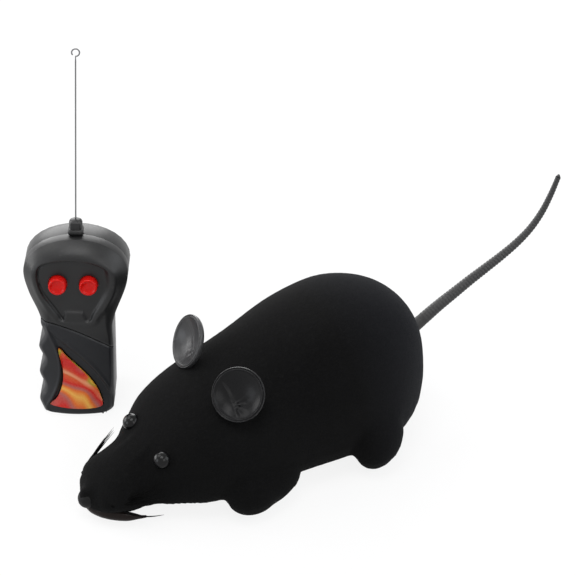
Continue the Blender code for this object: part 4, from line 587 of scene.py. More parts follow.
class EffectShelf:
    """Builds each shared node group once."""

    def __init__(self) -> None:
        """Build every effect."""
        self.groups = {effect: self._make(effect) for effect in Effect}

    def _make(self, effect: Effect) -> bpy.types.NodeTree:
        """Build one group with its sockets.

        Args:
            effect: The effect.

        Returns:
            The group, with a scale and an amount as inputs, and a mask and a height as outputs.
        """
        tree = bpy.data.node_groups.new(effect.value, "ShaderNodeTree")
        for name, value in (("Scale", 1000.0), ("Amount", 0.5)):
            tree.interface.new_socket(name, in_out="INPUT", socket_type="NodeSocketFloat").default_value = value
        for name in ("Mask", "Height"):
            tree.interface.new_socket(name, in_out="OUTPUT", socket_type="NodeSocketFloat")
        n = Nodes(tree)
        place = n.add("TexCoord").outputs["Object"]
        entry, leave = tree.nodes.new("NodeGroupInput"), tree.nodes.new("NodeGroupOutput")
        scale, amount = entry.outputs["Scale"], entry.outputs["Amount"]
        if effect is Effect.GRAIN:
            height = n.noise(place, scale, 3.0, Roughness=0.6)
            mask = n.span(n.noise(place, n.calc(scale, 0.06), 2.0), 0.3, 0.7)
        elif effect is Effect.WEAR_AND_HIGHLIGHT:
            edge = n.span(n.add("NewGeometry").outputs["Pointiness"], 0.51, 0.60)
            height = n.span(n.noise(place, scale, 5.0), 0.42, 0.62)
            mask = n.calc(edge, height)
        elif effect is Effect.DUST:
            parts = n.add("SeparateXYZ", Vector=n.add("NewGeometry").outputs["Normal"])
            height = n.span(n.noise(place, scale, 6.0), 0.5, 0.72)
            mask = n.calc(n.span(parts.outputs["Z"], 0.2, 1.0), height)
        else:
            stretched = n.add("Mapping", Vector=place, Scale=(0.45, 1.0, 0.8))
            nap = n.noise(stretched.outputs[0], scale, 4.0, Roughness=0.7)
            tuft = n.add("TexVoronoi", Vector=place, Scale=n.calc(scale, 0.7))
            height = n.calc(nap, n.calc(tuft.outputs["Distance"], 0.5), "ADD")
            mask = n.span(nap, 0.35, 0.7)
        n.fill(leave, Mask=n.calc(mask, amount), Height=height)
        return tree

    def use(self, nodes: Nodes, effect: Effect, scale: float, amount: float) -> bpy.types.Node:
        """Place a shared effect in a material.

        Args:
            nodes: The material's nodes.
            effect: The effect.
            scale: How fine it is.
            amount: How strong it is.

        Returns:
            The effect's node.
        """
        node = nodes.tree.nodes.new("ShaderNodeGroup")
        node.node_tree = self.groups[effect]
        return nodes.fill(node, Scale=scale, Amount=amount)


def fresh_material(name: str) -> tuple[bpy.types.Material, Nodes, bpy.types.Node]:
    """Make a material with nodes.

    Args:
        name: Its name.

    Returns:
        The material, its nodes and its Principled shader.
    """
    material = bpy.data.materials.new(name)
    material.use_nodes = True
    return material, Nodes(material.node_tree), material.node_tree.nodes["Principled BSDF"]


@dataclass(frozen=True)
class Moulding:
    """A moulded plastic, rubber or painted finish."""

    name: str
    colour: Colour
    roughness: float
    specular: float = 0.4
    grain_scale: float = 2600.0
    grain_depth: float = 0.02
    mottle: float = 0.25
    wear_and_highlight: float = 0.35
    dust: float = 0.12
    metallic: float = 0.0
    coat: float = 0.0
    sheen: float = 0.0
    wear_and_highlight_scale: float = 220.0
    dust_scale: float = 900.0
    dust_colour: Colour = (0.10, 0.095, 0.09)

    def make(self, shelf: EffectShelf) -> bpy.types.Material:
        """Build the material with grain, lighter edges and a little dust; the lighter edges stand for worn edges, and
        on the ears also for a painted highlight along the rims.

        Args:
            shelf: The shared effects.

        Returns:
            The material.
        """
        material, n, shader = fresh_material(self.name)
        grain = shelf.use(n, Effect.GRAIN, self.grain_scale, self.mottle).outputs
        wear_and_highlight = shelf.use(n, Effect.WEAR_AND_HIGHLIGHT, self.wear_and_highlight_scale, self.wear_and_highlight).outputs["Mask"]
        dust = shelf.use(n, Effect.DUST, self.dust_scale, self.dust).outputs["Mask"]
        lighter = tuple(min(1.0, 1.35 * c + 0.004) for c in self.colour)
        # edge colour: worn edges, and on the ears a painted highlight along the rims
        worn_and_highlit = tuple(min(1.0, 1.6 * c + 0.02) for c in self.colour)
        colour = n.blend(wear_and_highlight, n.blend(grain["Mask"], self.colour, lighter), worn_and_highlit)
        rough = n.span(grain["Height"], 0.3, 0.7, self.roughness - 0.05, self.roughness + 0.06)
        rough = n.calc(rough, n.calc(dust, 0.3), "ADD")
        bump = n.add("Bump", Strength=0.35, Distance=self.grain_depth * MM, Height=grain["Height"])
        n.fill(shader, Base_Color=n.blend(dust, colour, self.dust_colour),
               Roughness=n.calc(rough, n.calc(wear_and_highlight, -0.1), "ADD"), Normal=bump.outputs[0],
               Specular_IOR_Level=self.specular, Metallic=self.metallic, Coat_Weight=self.coat,
               Coat_Roughness=0.08, Sheen_Weight=self.sheen, Sheen_Roughness=0.4)
        return material


@dataclass(frozen=True)
class Flock:
    """Short black nylon pile, softly lighter where it is seen along the surface, with painted light on the rump: the
    rear is painted a lighter bluish grey for light falling on it from the right.
    """

    name: str = "black flock"
    deep: Colour = (0.0026, 0.0026, 0.0026)
    tips: Colour = (0.0058, 0.0058, 0.0060)
    # painted light: a lighter bluish grey for the rump, where light from the right falls
    painted_rump_light: Colour = (0.021, 0.0225, 0.028)
    painted_light_start: float = -0.005
    painted_light_end: float = 0.055
    dust: float = 0.014
    dust_colour: Colour = (0.12, 0.12, 0.12)

    def make(self, shelf: EffectShelf) -> bpy.types.Material:
        """Build the material.

        Args:
            shelf: The shared effects.

        Returns:
            The material.
        """
        material, n, shader = fresh_material(self.name)
        fibre = shelf.use(n, Effect.FIBRE, 3200.0, 0.8).outputs
        dust = shelf.use(n, Effect.DUST, 700.0, self.dust).outputs["Mask"]
        place = n.add("TexCoord").outputs["Object"]
        brushed = n.span(n.noise(place, 38.0, 3.0), 0.35, 0.65)
        parts = n.add("SeparateXYZ", Vector=place)
        # painted light: blend toward the lighter rump colour along X, standing in for light from the right
        rear = n.span(parts.outputs["X"], self.painted_light_start, self.painted_light_end)
        colour = n.blend(n.calc(fibre["Mask"], n.calc(brushed, 0.25), "ADD"), self.deep, self.tips)
        colour = n.blend(n.calc(rear, 0.6), colour, self.painted_rump_light)
        bump = n.add("Bump", Strength=0.9, Distance=0.12 * MM, Height=fibre["Height"])
        n.fill(shader, Base_Color=n.blend(dust, colour, self.dust_colour), Normal=bump.outputs[0],
               Roughness=n.span(fibre["Height"], 0.3, 1.0, 0.9, 1.0), Specular_IOR_Level=0.04,
               Sheen_Weight=0.015, Sheen_Roughness=0.55)
        return material


@dataclass(frozen=True)
class Foil:
    """A generic streaked foil of reds, oranges and yellows under a clear skin."""

    name: str = "streaked foil"
    colours: tuple[tuple[float, Colour], ...] = (
        (0.0, (0.46, 0.012, 0.014)), (0.30, (0.52, 0.020, 0.014)), (0.42, (0.60, 0.09, 0.015)),
        (0.50, (0.66, 0.34, 0.04)), (0.57, (0.28, 0.27, 0.03)), (0.65, (0.52, 0.07, 0.02)),
        (0.76, (0.46, 0.014, 0.012)), (0.84, (0.33, 0.10, 0.085)), (0.90, (0.58, 0.12, 0.02)),
        (1.0, (0.66, 0.36, 0.07)))
    glint: Colour = (0.88, 0.74, 0.42)

    def make(self, shelf: EffectShelf) -> bpy.types.Material:
        """Build the material: folded silk-like streaks across the face's own coordinates, with thin glints.

        Args:
            shelf: The shared effects.

        Returns:
            The material.
        """
        material, n, shader = fresh_material(self.name)
        place = n.add("TexCoord").outputs["UV"]
        folds = n.noise(place, 1.5, 0.6, Roughness=0.35, Distortion=0.7)
        turned = n.add("Mapping", Vector=place, Rotation=(0.0, 0.0, math.radians(48.0)), Scale=(0.6, 1.0, 1.0))
        parts = n.add("SeparateXYZ", Vector=turned.outputs[0])
        along = n.calc(parts.outputs["Y"], n.calc(folds, 1.5), "ADD")
        around = n.calc(n.calc(along, 0.02, "ADD"), 1.0, "PINGPONG")
        strip = n.add("ValToRGB", Fac=around)
        keys = strip.color_ramp.elements
        for key, (position, colour) in zip(keys[:], (self.colours[0], self.colours[-1])):
            key.position, key.color = position, (*colour, 1.0)
        for position, colour in self.colours[1:-1]:
            keys.new(position).color = (*colour, 1.0)
        lines = n.add("TexWave", {"wave_type": "BANDS", "bands_direction": "Y"}, Vector=turned.outputs[0],
                      Scale=0.9, Distortion=4.5, Detail=0.5)
        thin = n.calc(n.span(lines.outputs["Fac"], 0.9, 1.0), n.span(folds, 0.45, 0.6))
        grain = shelf.use(n, Effect.GRAIN, 1500.0, 0.08).outputs
        dust = shelf.use(n, Effect.DUST, 800.0, 0.02).outputs["Mask"]
        colour = n.blend(grain["Mask"], strip.outputs["Color"], (0.70, 0.08, 0.03))
        colour = n.blend(n.calc(thin, 0.75), colour, self.glint)
        bump = n.add("Bump", Strength=0.25, Distance=0.1 * MM, Height=around)
        n.fill(shader, Base_Color=n.blend(dust, colour, (0.5, 0.45, 0.4)), Normal=bump.outputs[0],
               Roughness=n.span(grain["Height"], 0.3, 0.7, 0.22, 0.32), Specular_IOR_Level=0.16,
               Coat_Weight=0.1, Coat_Roughness=0.05)
        return material


@dataclass(frozen=True)
class CircuitBoard:
    """Solder mask with copper tracks under it."""

    name: str = "circuit board"
    mask_colour: Colour = (0.015, 0.12, 0.045)
    track_colour: Colour = (0.04, 0.24, 0.09)

    def make(self, shelf: EffectShelf) -> bpy.types.Material:
        """Build the material.

        Args:
            shelf: The shared effects.

        Returns:
            The material.
        """
        material, n, shader = fresh_material(self.name)
        place = n.add("TexCoord").outputs["Object"]
        tracks = n.add("TexBrick", {"offset": 0.37, "squash": 0.6}, Vector=place, Scale=420.0, Mortar_Size=0.16)
        shown = n.calc(tracks.outputs["Fac"], 0.8)
        grain = shelf.use(n, Effect.GRAIN, 1800.0, 0.4).outputs
        colour = n.blend(shown, self.mask_colour, self.track_colour)
        bump = n.add("Bump", Strength=0.4, Distance=0.04 * MM, Height=shown)
        n.fill(shader, Base_Color=n.blend(grain["Mask"], colour, (0.01, 0.08, 0.03)), Normal=bump.outputs[0],
               Roughness=n.span(grain["Height"], 0.3, 0.7, 0.3, 0.45))
        return material


class Paintbox:
    """Every material of the toy, by the record's slot."""

    def __init__(self) -> None:
        """Build every material."""
        shelf = EffectShelf()
        finishes = {
            "shell_flock": Flock(),
            # the ears' strong edge lightening is partly worn edges and partly a painted highlight along the rims
            "vinyl": Moulding("ear vinyl", (0.005, 0.005, 0.0055), 0.3, 0.12, wear_and_highlight=0.8, grain_depth=0.008, dust=0.03,
                              sheen=0.1),
            # painted light: a lighter copy of the ear vinyl for the far ear, standing in for the light that falls
            # into its cup
            "painted_light_vinyl": Moulding("ear vinyl painted lighter", (0.028, 0.028, 0.029), 0.32, 0.3, 900.0, 0.012, 0.7, 0.8, 0.1),
            "nose_rubber": Moulding("nose rubber", (0.0045, 0.0045, 0.0047), 0.5, 0.16, wear_and_highlight=0.0, grain_depth=0.006,
                                    dust=0.0),
            "bristle": Moulding("bristle", (0.004, 0.004, 0.004), 0.9, 0.0, wear_and_highlight=0.0, dust=0.0),
            "lip": Moulding("lip gloss", (0.007, 0.0042, 0.0034), 0.3, 0.12, mottle=0.4, wear_and_highlight=0.0, dust=0.0),
            "gloss_black": Moulding("gloss black", (0.004, 0.004, 0.0042), 0.14, 0.19, mottle=0.1, wear_and_highlight=0.0,
                                    grain_depth=0.0, dust=0.0),
            "tail_rubber": Moulding("tail rubber", (0.021, 0.021, 0.0215), 0.5, 0.36, wear_and_highlight=0.3),
            "base_plastic": Moulding("base plastic", (0.017, 0.017, 0.018), 0.42, 0.35),
            "wheel_plastic": Moulding("wheel plastic", (0.06, 0.06, 0.062), 0.4, 0.4),
            "tyre_rubber": Moulding("tyre rubber", (0.012, 0.012, 0.012), 0.8, 0.2, 1800.0, 0.05, 0.4, 0.5, 0.35),
            "steel": Moulding("zinc plated steel", (0.56, 0.56, 0.55), 0.3, 0.5, 900.0, 0.006, 0.5, 0.2, 0.1, 1.0),
            "brass": Moulding("brass", (0.70, 0.47, 0.19), 0.28, 0.5, 900.0, 0.006, 0.5, 0.2, 0.05, 1.0),
            "gear_nylon": Moulding("gear nylon", (0.74, 0.72, 0.66), 0.45, 0.4, 1500.0, 0.01, 0.3, 0.1, 0.1),
            "housing_plastic": Moulding("gearbox plastic", (0.07, 0.07, 0.075), 0.5, 0.4),
            "motor_can": Moulding("motor can", (0.50, 0.50, 0.50), 0.32, 0.5, 700.0, 0.01, 0.5, 0.3, 0.1, 1.0),
            "board": CircuitBoard(),
            "chip": Moulding("chip black", (0.014, 0.014, 0.015), 0.5, 0.4),
            "knob_plastic": Moulding("knob grey", (0.22, 0.22, 0.22), 0.45, 0.4),
            "cell_jacket": Moulding("cell jacket", (0.16, 0.17, 0.19), 0.3, 0.5, 600.0, 0.01, 0.6, 0.3, 0.1, 0.6),
            "case_plastic": Moulding("case black", (0.0082, 0.0083, 0.0087), 0.38, 0.32, wear_and_highlight=0.3, dust=0.05),
            "grip_plastic": Moulding("grip charcoal", (0.0072, 0.0077, 0.0094), 0.42, 0.27, wear_and_highlight=0.3, dust=0.05),
            "button_red": Moulding("button red", (0.50, 0.006, 0.004), 0.22, 0.14, 1600.0, 0.004, 0.06, 0.08, 0.0),
            "wire_steel": Moulding("dulled wire", (0.16, 0.16, 0.165), 0.42, 0.4, 900.0, 0.004, 0.3, 0.1, 0.0, 0.8),
            "insert_foil": Foil(),
        }
        self.paints = {slot: finish.make(shelf) for slot, finish in finishes.items()}

    def hand_over(self, item: bpy.types.Object, body: str, slot: str, *nodes: str,
                  paint: Optional[str] = None) -> bpy.types.Object:
        """Dress a finished piece and let it ride on its body.

        Args:
            item: The piece.
            body: The CAD body it moves with.
            slot: The record's material slot.
            *nodes: CAD nodes that it stands for.
            paint: A material other than the slot's own.

        Returns:
            The piece.
        """
        item.data.materials.clear()
        item.data.materials.append(self.paints[paint or slot])
        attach(item, body)
        if nodes:
            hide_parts(*nodes)
        LOG.info("%s rides on %s in %s, %d faces", item.name, body, slot, len(item.data.polygons))
        return item

    def dress_node(self, node: bpy.types.Object, slot: str) -> None:
        """Give a CAD node that stays its material.

        Args:
            node: The CAD node.
            slot: The record's material slot.
        """
        node.data.materials.clear()
        node.data.materials.append(self.paints[slot])
        LOG.info("%s keeps its CAD shape in %s", node.name, slot)


# ---------------------------------------------------------------- the mouse

VIEW_RIGHT = Vector((0.848, -0.53, 0.0))
POCKET_FILLS = (("left_eye", 0.88), ("right_eye", 0.88), ("nose", 0.9))
EAR_LIP = ((0.885, 0.38), (0.905, 0.56), (0.922, 0.5), (0.936, 0.22), (0.952, 0.22), (0.966, 0.46), (0.984, 0.46),
           (1.0, 0.14), (0.998, -0.3), (0.985, -0.8), (0.965, -1.25), (0.935, -1.6))
EAR_FOLD = ((-7.4, 6.2), (-6.3, 4.4), (-4.4, 0.6), (-2.7, -3.2), (-1.3, -6.8), (-0.5, -9.6))
EYE_SHIFTS = {"left": (0.2, 0.2, -0.1), "right": (1.1, -1.0, 0.9)}
LIP_HALF_WIDTHS = ((1.6, 7.4), (3.0, 9.4), (5.0, 11.0), (8.0, 12.7), (11.5, 14.0), (15.0, 15.0), (18.0, 15.6))
WHISKER_TIPS = ((23.0, 18.5, 20.6), (20.5, 17.5, 18.2), (24.0, 20.0, 17.0), (21.0, 22.0, 14.0), (21.8, 20.6, 6.1),
                (22.0, 18.2, 19.4), (19.0, 17.2, 17.2), (23.5, 19.4, 18.6), (22.2, 21.2, 15.4), (16.4, 18.4, 13.6),
                (16.5, 17.4, 15.4), (15.0, 18.0, 13.4))
RING_WAVE = (0.0, 0.55, 0.9, 1.0, 0.9, 0.55)
TAIL_END = ((0.9965, 0.86), (0.9985, 0.62), (1.0, 0.2))
SOFTENED = (("base_plate", "mouse", "base_plastic", 0.35), ("mouse_battery_door", "mouse_door", "base_plastic", 0.25),
            ("caster_fork", "caster_swivel", "base_plastic", 0.25),
            ("gearbox_housing", "mouse", "housing_plastic", 0.3), ("switch_knob", "power_knob", "knob_plastic", 0.2))


@dataclass(frozen=True)
class Ear:
    """One ear: its rim's plan place, the way it faces here and in the CAD, its creases and its paint."""

    word: str
    centre: Pair
    facing: Triple
    cad_facing: Triple
    mirror: float
    creasing: float
    streaking: float
    paint: str


@dataclass
class Mouse:
    """The flocked mouse: coat, ears, face, tail and running gear, in mm from the mouse's own origin."""

    nodes: dict
    paints: Paintbox
    origin: Vector
    voxel: float = 1.0
    pile: float = 0.12
    pile_scale: float = 1.1
    swell: float = 0.3
    cheek: float = 1.7
    padding: tuple[tuple[Triple, Triple, Triple], ...] = (
        ((3.6, 0.0, 10.1), (9.2, 11.0, 9.6), (0.0, 0.0, 0.0)),
        ((54.8, -31.0, 9.6), (21.6, 16.2, 17.2), (0.0, 0.0, 0.0)),
        ((118.0, -26.5, 21.0), (18.0, 11.0, 22.0), (0.0, 25.0, 30.0)))
    ears: tuple[Ear, ...] = (
        Ear("left", (56.0, -18.8), (-0.62, -0.50, 0.60), (-0.62, -0.50, 0.60), 1.0, 1.0, 0.0, "vinyl"),
        # the right ear gets the lighter vinyl copy: painted light on its cup
        Ear("right", (56.2, 18.5), (-0.88, 0.18, 0.43), (-0.835, 0.135, 0.534), -1.0, 0.45, 0.05, "painted_light_vinyl"))
    ear_radius: float = 10.4
    ear_depth: float = 3.3
    ear_floor: float = -2.8
    stem_radius: float = 1.6
    stem_length: float = 9.2
    eye_radius: float = 3.5
    nose_centre: Triple = (1.5, 0.0, 9.4)
    nose_size: Triple = (9.6, 7.9, 8.8)
    lip_start: float = 1.2
    lip_reach: float = 15.8
    lip_steps: int = 56
    lip_height: float = 5.9
    tail_root: Pair = (136.0, 22.9)
    tail_route: tuple[Pair, ...] = ((7.0, 26.9), (15.6, 31.5), (22.6, 35.1), (29.8, 38.3), (37.0, 41.5),
                                    (44.4, 44.5), (51.7, 47.5), (58.8, 51.0), (65.2, 55.5), (70.4, 61.4),
                                    (74.4, 68.4), (77.8, 76.1))
    tail_radii: Pair = (2.45, 1.05)
    tail_ribs: int = 60
    tail_plain: float = 18.0
    whisker_root: Triple = (5.5, 10.4, 11.0)
    tread_ribs: float = 27.0
    tread_depth: float = 0.45
    hub_holes: int = 5

    def build(self) -> None:
        """Build and dress every piece of the mouse."""
        self.coat()
        for ear in self.ears:
            self.ear(ear)
        self.eyes()
        self.nose()
        self.lip()
        for side, word in ((-1, "left"), (1, "right")):
            self.whisker_tuft(word, side)
        self.tail()
        for node, body, slot, rounding in SOFTENED:
            item = Bench.copied(node + "_moulding", self.nodes[node], rounding)
            self.paints.hand_over(item, body, slot, node)
        for side, word in ((-1, "left"), (1, "right")):
            self.wheel(word, side)
        self.caster()

    def coat(self) -> None:
        """The flocked skin: the CAD shell with filled pockets, remeshed, eased and roughened by its pile."""
        item = Bench.copied("mouse_coat", self.nodes["mouse_shell"])
        fillers = [self.shrunk_copy(name, share) for name, share in POCKET_FILLS]
        fillers += [self.pad(*blob, side) for blob in self.padding for side in (-1, 1)]
        Bench.join(item, *fillers)
        Bench.modify(item, "REMESH", mode="VOXEL", voxel_size=self.voxel * MM, adaptivity=0.0)
        Bench.modify(item, "SMOOTH", factor=0.5, iterations=8)
        self.ease_back(item)
        self.shape_face(item)
        pile = bpy.data.textures.new("pile", "CLOUDS")
        pile.noise_scale = self.pile_scale * MM
        pile.noise_depth = 1
        Bench.modify(item, "DISPLACE", texture=pile, texture_coords="LOCAL", strength=self.pile * MM,
                     mid_level=0.5)
        Bench.take(item)
        bpy.ops.object.shade_smooth()
        self.paints.hand_over(item, "mouse", "shell_flock", "mouse_shell")

    def shape_face(self, item: bpy.types.Object) -> None:
        """Add the pile's thickness, fill the cheeks, hollow the sockets and lift the edge over the lip.

        Args:
            item: The remeshed coat.
        """
        points = (np.array([v.co[:] for v in item.data.vertices]) - np.array(self.origin)) / MM
        normals = np.array([v.normal[:] for v in item.data.vertices])
        x, y, z = points[:, 0], np.abs(points[:, 1]), points[:, 2]
        cheek = self.cheek * bell(x - 8.5, 5.0) * ramp(z, 7.0, 4.0) * (normals[:, 2] > -0.5)
        socket = 0.9 * bell(x - 21.0, 4.5) * ramp(z, 12.0, 4.0) * ramp(y, 4.0, 4.0)
        push = self.swell * (z > 7.9) * ramp(x, 0.5, 2.5) + cheek - socket
        lift = 1.2 * bell(x - 19.0, 5.0, 4) * eased((10.8 - z) / 3.4) * ramp(y, 9.0, 3.0)
        for vertex, normal, by, up in zip(item.data.vertices, normals, push, lift):
            vertex.co += Vector(normal) * float(by) * MM
            vertex.co.z += float(up) * MM

    def ease_back(self, item: bpy.types.Object) -> None:
        """Smooth the facets out of the back and give back the height that smoothing takes.

        Args:
            item: The remeshed coat.
        """
        before = np.array([v.co[:] for v in item.data.vertices])
        spots = (before - np.array(self.origin)) / MM
        weights = ramp(spots[:, 0], 24.0, 14.0) * ramp(spots[:, 2], 20.0, 10.0)
        group = item.vertex_groups.new(name="back")
        for index, weight in enumerate(weights):
            if weight > 0.001:
                group.add([index], float(weight), "REPLACE")
        Bench.modify(item, "SMOOTH", factor=0.5, iterations=160, vertex_group="back")
        normals = np.array([v.normal[:] for v in item.data.vertices])
        after = np.array([v.co[:] for v in item.data.vertices])
        lost = float((((before - after) * normals).sum(axis=1) * weights).sum() / weights.sum())
        LOG.info("the back lost %.2f mm, given back", lost / MM)
        for vertex, normal, weight in zip(item.data.vertices, normals, weights):
            vertex.co += Vector(normal) * float(weight) * lost

    def shrunk_copy(self, name: str, share: float) -> bpy.types.Object:
        """Copy a CAD node, smaller about its own middle, to fill its pocket in the coat.

        Args:
            name: The CAD node.
            share: Its new size as a share of the old.

        Returns:
            The copy.
        """
        item = Bench.copied(name + "_filler", self.nodes[name])
        low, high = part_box(name)
        middle = (low + high) / 2
        return Bench.settle(item, Matrix.Translation(middle) @ Matrix.Scale(share, 4)
                            @ Matrix.Translation(-middle))

    def pad(self, place: Triple, size: Triple, turn: Triple, side: int) -> bpy.types.Object:
        """A blob that fills the crease between a paw and the body.

        Args:
            place: Its middle on the left side in mm.
            size: Its length, width and height in mm.
            turn: Its Euler angles in degrees.
            side: -1 for the left side, 1 for the right.

        Returns:
            The blob.
        """
        Bench.clear()
        bpy.ops.mesh.primitive_uv_sphere_add(segments=32, ring_count=20, radius=0.5)
        item = Bench.named("coat_pad")
        middle = Matrix.Translation(self.origin + Vector((place[0], -side * place[1], place[2])) * MM)
        turned = tilted(turn[0] * -side, turn[1], turn[2] * -side)
        return Bench.settle(item, middle @ turned @ Matrix.Diagonal((*[v * MM for v in size], 1)))

    def ear_frame(self, ear: Ear) -> Matrix:
        """The ear's frame: Z out of the cup, X to the right of someone who looks into it.

        Args:
            ear: The ear.

        Returns:
            The matrix from that frame to the row frame, its origin in the middle of the rim.
        """
        facing = Vector(ear.facing).normalized()
        across = (VIEW_RIGHT - VIEW_RIGHT.dot(facing) * facing).normalized()
        turn = Matrix((across, facing.cross(across), facing)).transposed().to_4x4()
        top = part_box(ear.word + "_ear")[1].z / MM
        lean = Vector(ear.cad_facing).normalized().z
        height = top - self.ear_radius * math.sqrt(1 - lean ** 2) - 0.2 * lean
        return Matrix.Translation(self.origin + Vector((*ear.centre, height)) * MM) @ turn

    def creases(self, points: np.ndarray, ear: Ear) -> np.ndarray:
        """How far an ear's inside stands out: a flap, fine creases that meet at its foot, and streaks.

        Args:
            points: Points of the cup as (x, y) in mm, mirrored for the right ear.
            ear: The ear.

        Returns:
            One height in mm for each point.
        """
        fold = smooth_line(EAR_FOLD, 6)
        away = line_distance(points, fold, False)
        left_of = np.interp(points[:, 1], fold[::-1, 1], fold[::-1, 0]) > points[:, 0]
        flap = np.where(left_of, np.exp(-away / 2.2) * 0.5, bell(away, 0.45) * 0.5)
        flap = flap * (1 - ramp(np.linalg.norm(points, axis=1), 7.6, 1.4)) * eased((7.0 - points[:, 1]) / 5)
        radial = points - np.array((-2.7, -3.6))
        spread = np.linalg.norm(radial, axis=1)
        angle = np.arctan2(radial[:, 1], radial[:, 0])
        sector = ramp(angle, -1.35, 0.3) * (1 - ramp(angle, 0.35, 0.5))
        ripple = (np.abs(np.cos(angle * 6.2 + 0.5)) ** 0.7 - 0.6) * sector * ramp(spread, 0.0, 1.5) \
            * (1 - ramp(spread, 2.0, 6.0)) * 0.85
        streaks = np.sin(points[:, 0] * 4.1) * np.sin(points[:, 0] * 1.7 + 0.6)
        return (ripple + flap) * ear.creasing + ear.streaking * streaks

    def ear(self, ear: Ear) -> None:
        """A thin cup with a rolled rim, a fold and fine creases, on its stem.

        Args:
            ear: The ear.
        """
        rim, floor, stem = self.ear_radius, self.ear_floor, self.stem_radius
        inner = [(0.0, floor)] + [(0.87 * rim * i / 16, floor + (0.15 - floor) * (i / 16) ** 2.3)
                                  for i in range(1, 17)]
        lip = [(share * rim, height) for share, height in EAR_LIP]
        outer = [(lip[-1][0] * (1 - i / 12), lip[-1][1] - (self.ear_depth - 0.7) * (1 - (1 - i / 12) ** 2.1))
                 for i in range(1, 13)]
        item = Bench.turned(ear.word + "_ear_cup", inner + lip + outer, 128)
        points = np.array([(v.co.x * ear.mirror, v.co.y) for v in item.data.vertices]) / MM
        for vertex, lift in zip(item.data.vertices, self.creases(points, ear)):
            if vertex.normal.z > 0.3 and vertex.co.z < 0.3 * MM:
                vertex.co.z += lift * MM
        frame = self.ear_frame(ear)
        Bench.settle(item, frame)
        facing = Vector(ear.facing).normalized()
        way = (facing + Vector((0, 0, 1))).normalized()
        down = (Vector((0, 0, -1)) + facing.z * facing).normalized()
        foot = frame.translation + (0.38 * rim * down - self.ear_depth * facing) * MM - 8.5 * MM * way
        peg = Bench.turned(ear.word + "_ear_stem", ((0.0, 0.0), (0.8 * stem, 0.0), (stem, 0.4),
                                                    (stem, self.stem_length - 2.2),
                                                    (1.5 * stem, self.stem_length - 0.4),
                                                    (0.0, self.stem_length - 0.2)), 24)
        Bench.settle(peg, stood_on(foot, way))
        Bench.join(item, peg)
        Bench.shade(item, 60.0)
        self.paints.hand_over(item, "mouse", "vinyl", ear.word + "_ear", paint=ear.paint)

    def eyes(self) -> None:
        """Two gloss beads, a little flattened."""
        for word, shift in EYE_SHIFTS.items():
            low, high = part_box(word + "_eye")
            Bench.clear()
            bpy.ops.mesh.primitive_uv_sphere_add(segments=40, ring_count=24, radius=self.eye_radius * MM,
                                                 location=(low + high) / 2 + Vector(shift) * MM)
            item = Bench.named(word + "_eye_bead")
            Bench.settle(item, Matrix.Identity(4))
            Bench.open_up()
            bpy.ops.transform.resize(value=(1.0, 1.0, 0.97))
            bpy.ops.object.mode_set(mode="OBJECT")
            Bench.take(item)
            bpy.ops.object.shade_smooth()
            self.paints.hand_over(item, "mouse", "gloss_black", word + "_eye")

    def nose(self) -> None:
        """A rubber cap over the end of the snout with two shallow nostrils and a crease between them."""
        size = Vector(self.nose_size) * MM
        Bench.clear()
        bpy.ops.mesh.primitive_uv_sphere_add(segments=64, ring_count=36, radius=0.5)
        item = Bench.named("nose_cap")
        for vertex in item.data.vertices:
            x, y, z = vertex.co
            nostrils = sum(bell(y - side * 0.13, 0.05) * bell(z + 0.05, 0.08) for side in (-1, 1))
            crease = bell(y, 0.03) * eased((0.05 - z) / 0.2)
            push = 0.018 * nostrils + 0.01 * crease if x < 0 else 0.0
            vertex.co = ((x + push) * size.x, y * size.y, (z + 0.08 * x) * size.z)
        Bench.settle(item, Matrix.Translation(self.origin + Vector(self.nose_centre) * MM))
        bpy.ops.object.shade_smooth()
        self.paints.hand_over(item, "mouse", "gloss_black", "nose", paint="nose_rubber")

    def lip(self) -> None:
        """The lower lip: a full round band round the chin, and the plate that carries it."""
        points, radii, chin = [], [], []
        for i in range(self.lip_steps + 1):
            angle = math.pi * (i / self.lip_steps - 0.5)
            along = 1 - abs(math.cos(angle)) ** 0.75
            x = self.lip_start + self.lip_reach * along
            wide = float(np.interp(x, *zip(*LIP_HALF_WIDTHS)))
            y = wide * math.copysign(min(1.0, abs(math.sin(angle)) ** 0.62), angle)
            points.append((x, y, 5.5 - 0.9 * ramp(x, 8.0, 9.0) - 0.35 * ramp(x, 13.0, 4.0)))
            radii.append(1.6 * (0.25 + 0.75 * ramp(1 - along, 0.0, 0.5)))
            if x < 11.0:
                chin.append((x, y))
        item = Bench.tube("lower_lip", points, radii, 5)
        for vertex in item.data.vertices:
            vertex.co.z = (self.lip_height + (vertex.co.z / MM - self.lip_height) * 1.35) * MM
        plate = Bench.slab("lip_plate", chin, 4.0, 5.7)
        Bench.settle(plate, tilted(90))
        Bench.join(item, plate)
        Bench.settle(item, Matrix.Translation(self.origin))
        Bench.shade(item, 50.0)
        self.paints.hand_over(item, "mouse", "gloss_black", "lower_jaw", paint="lip")

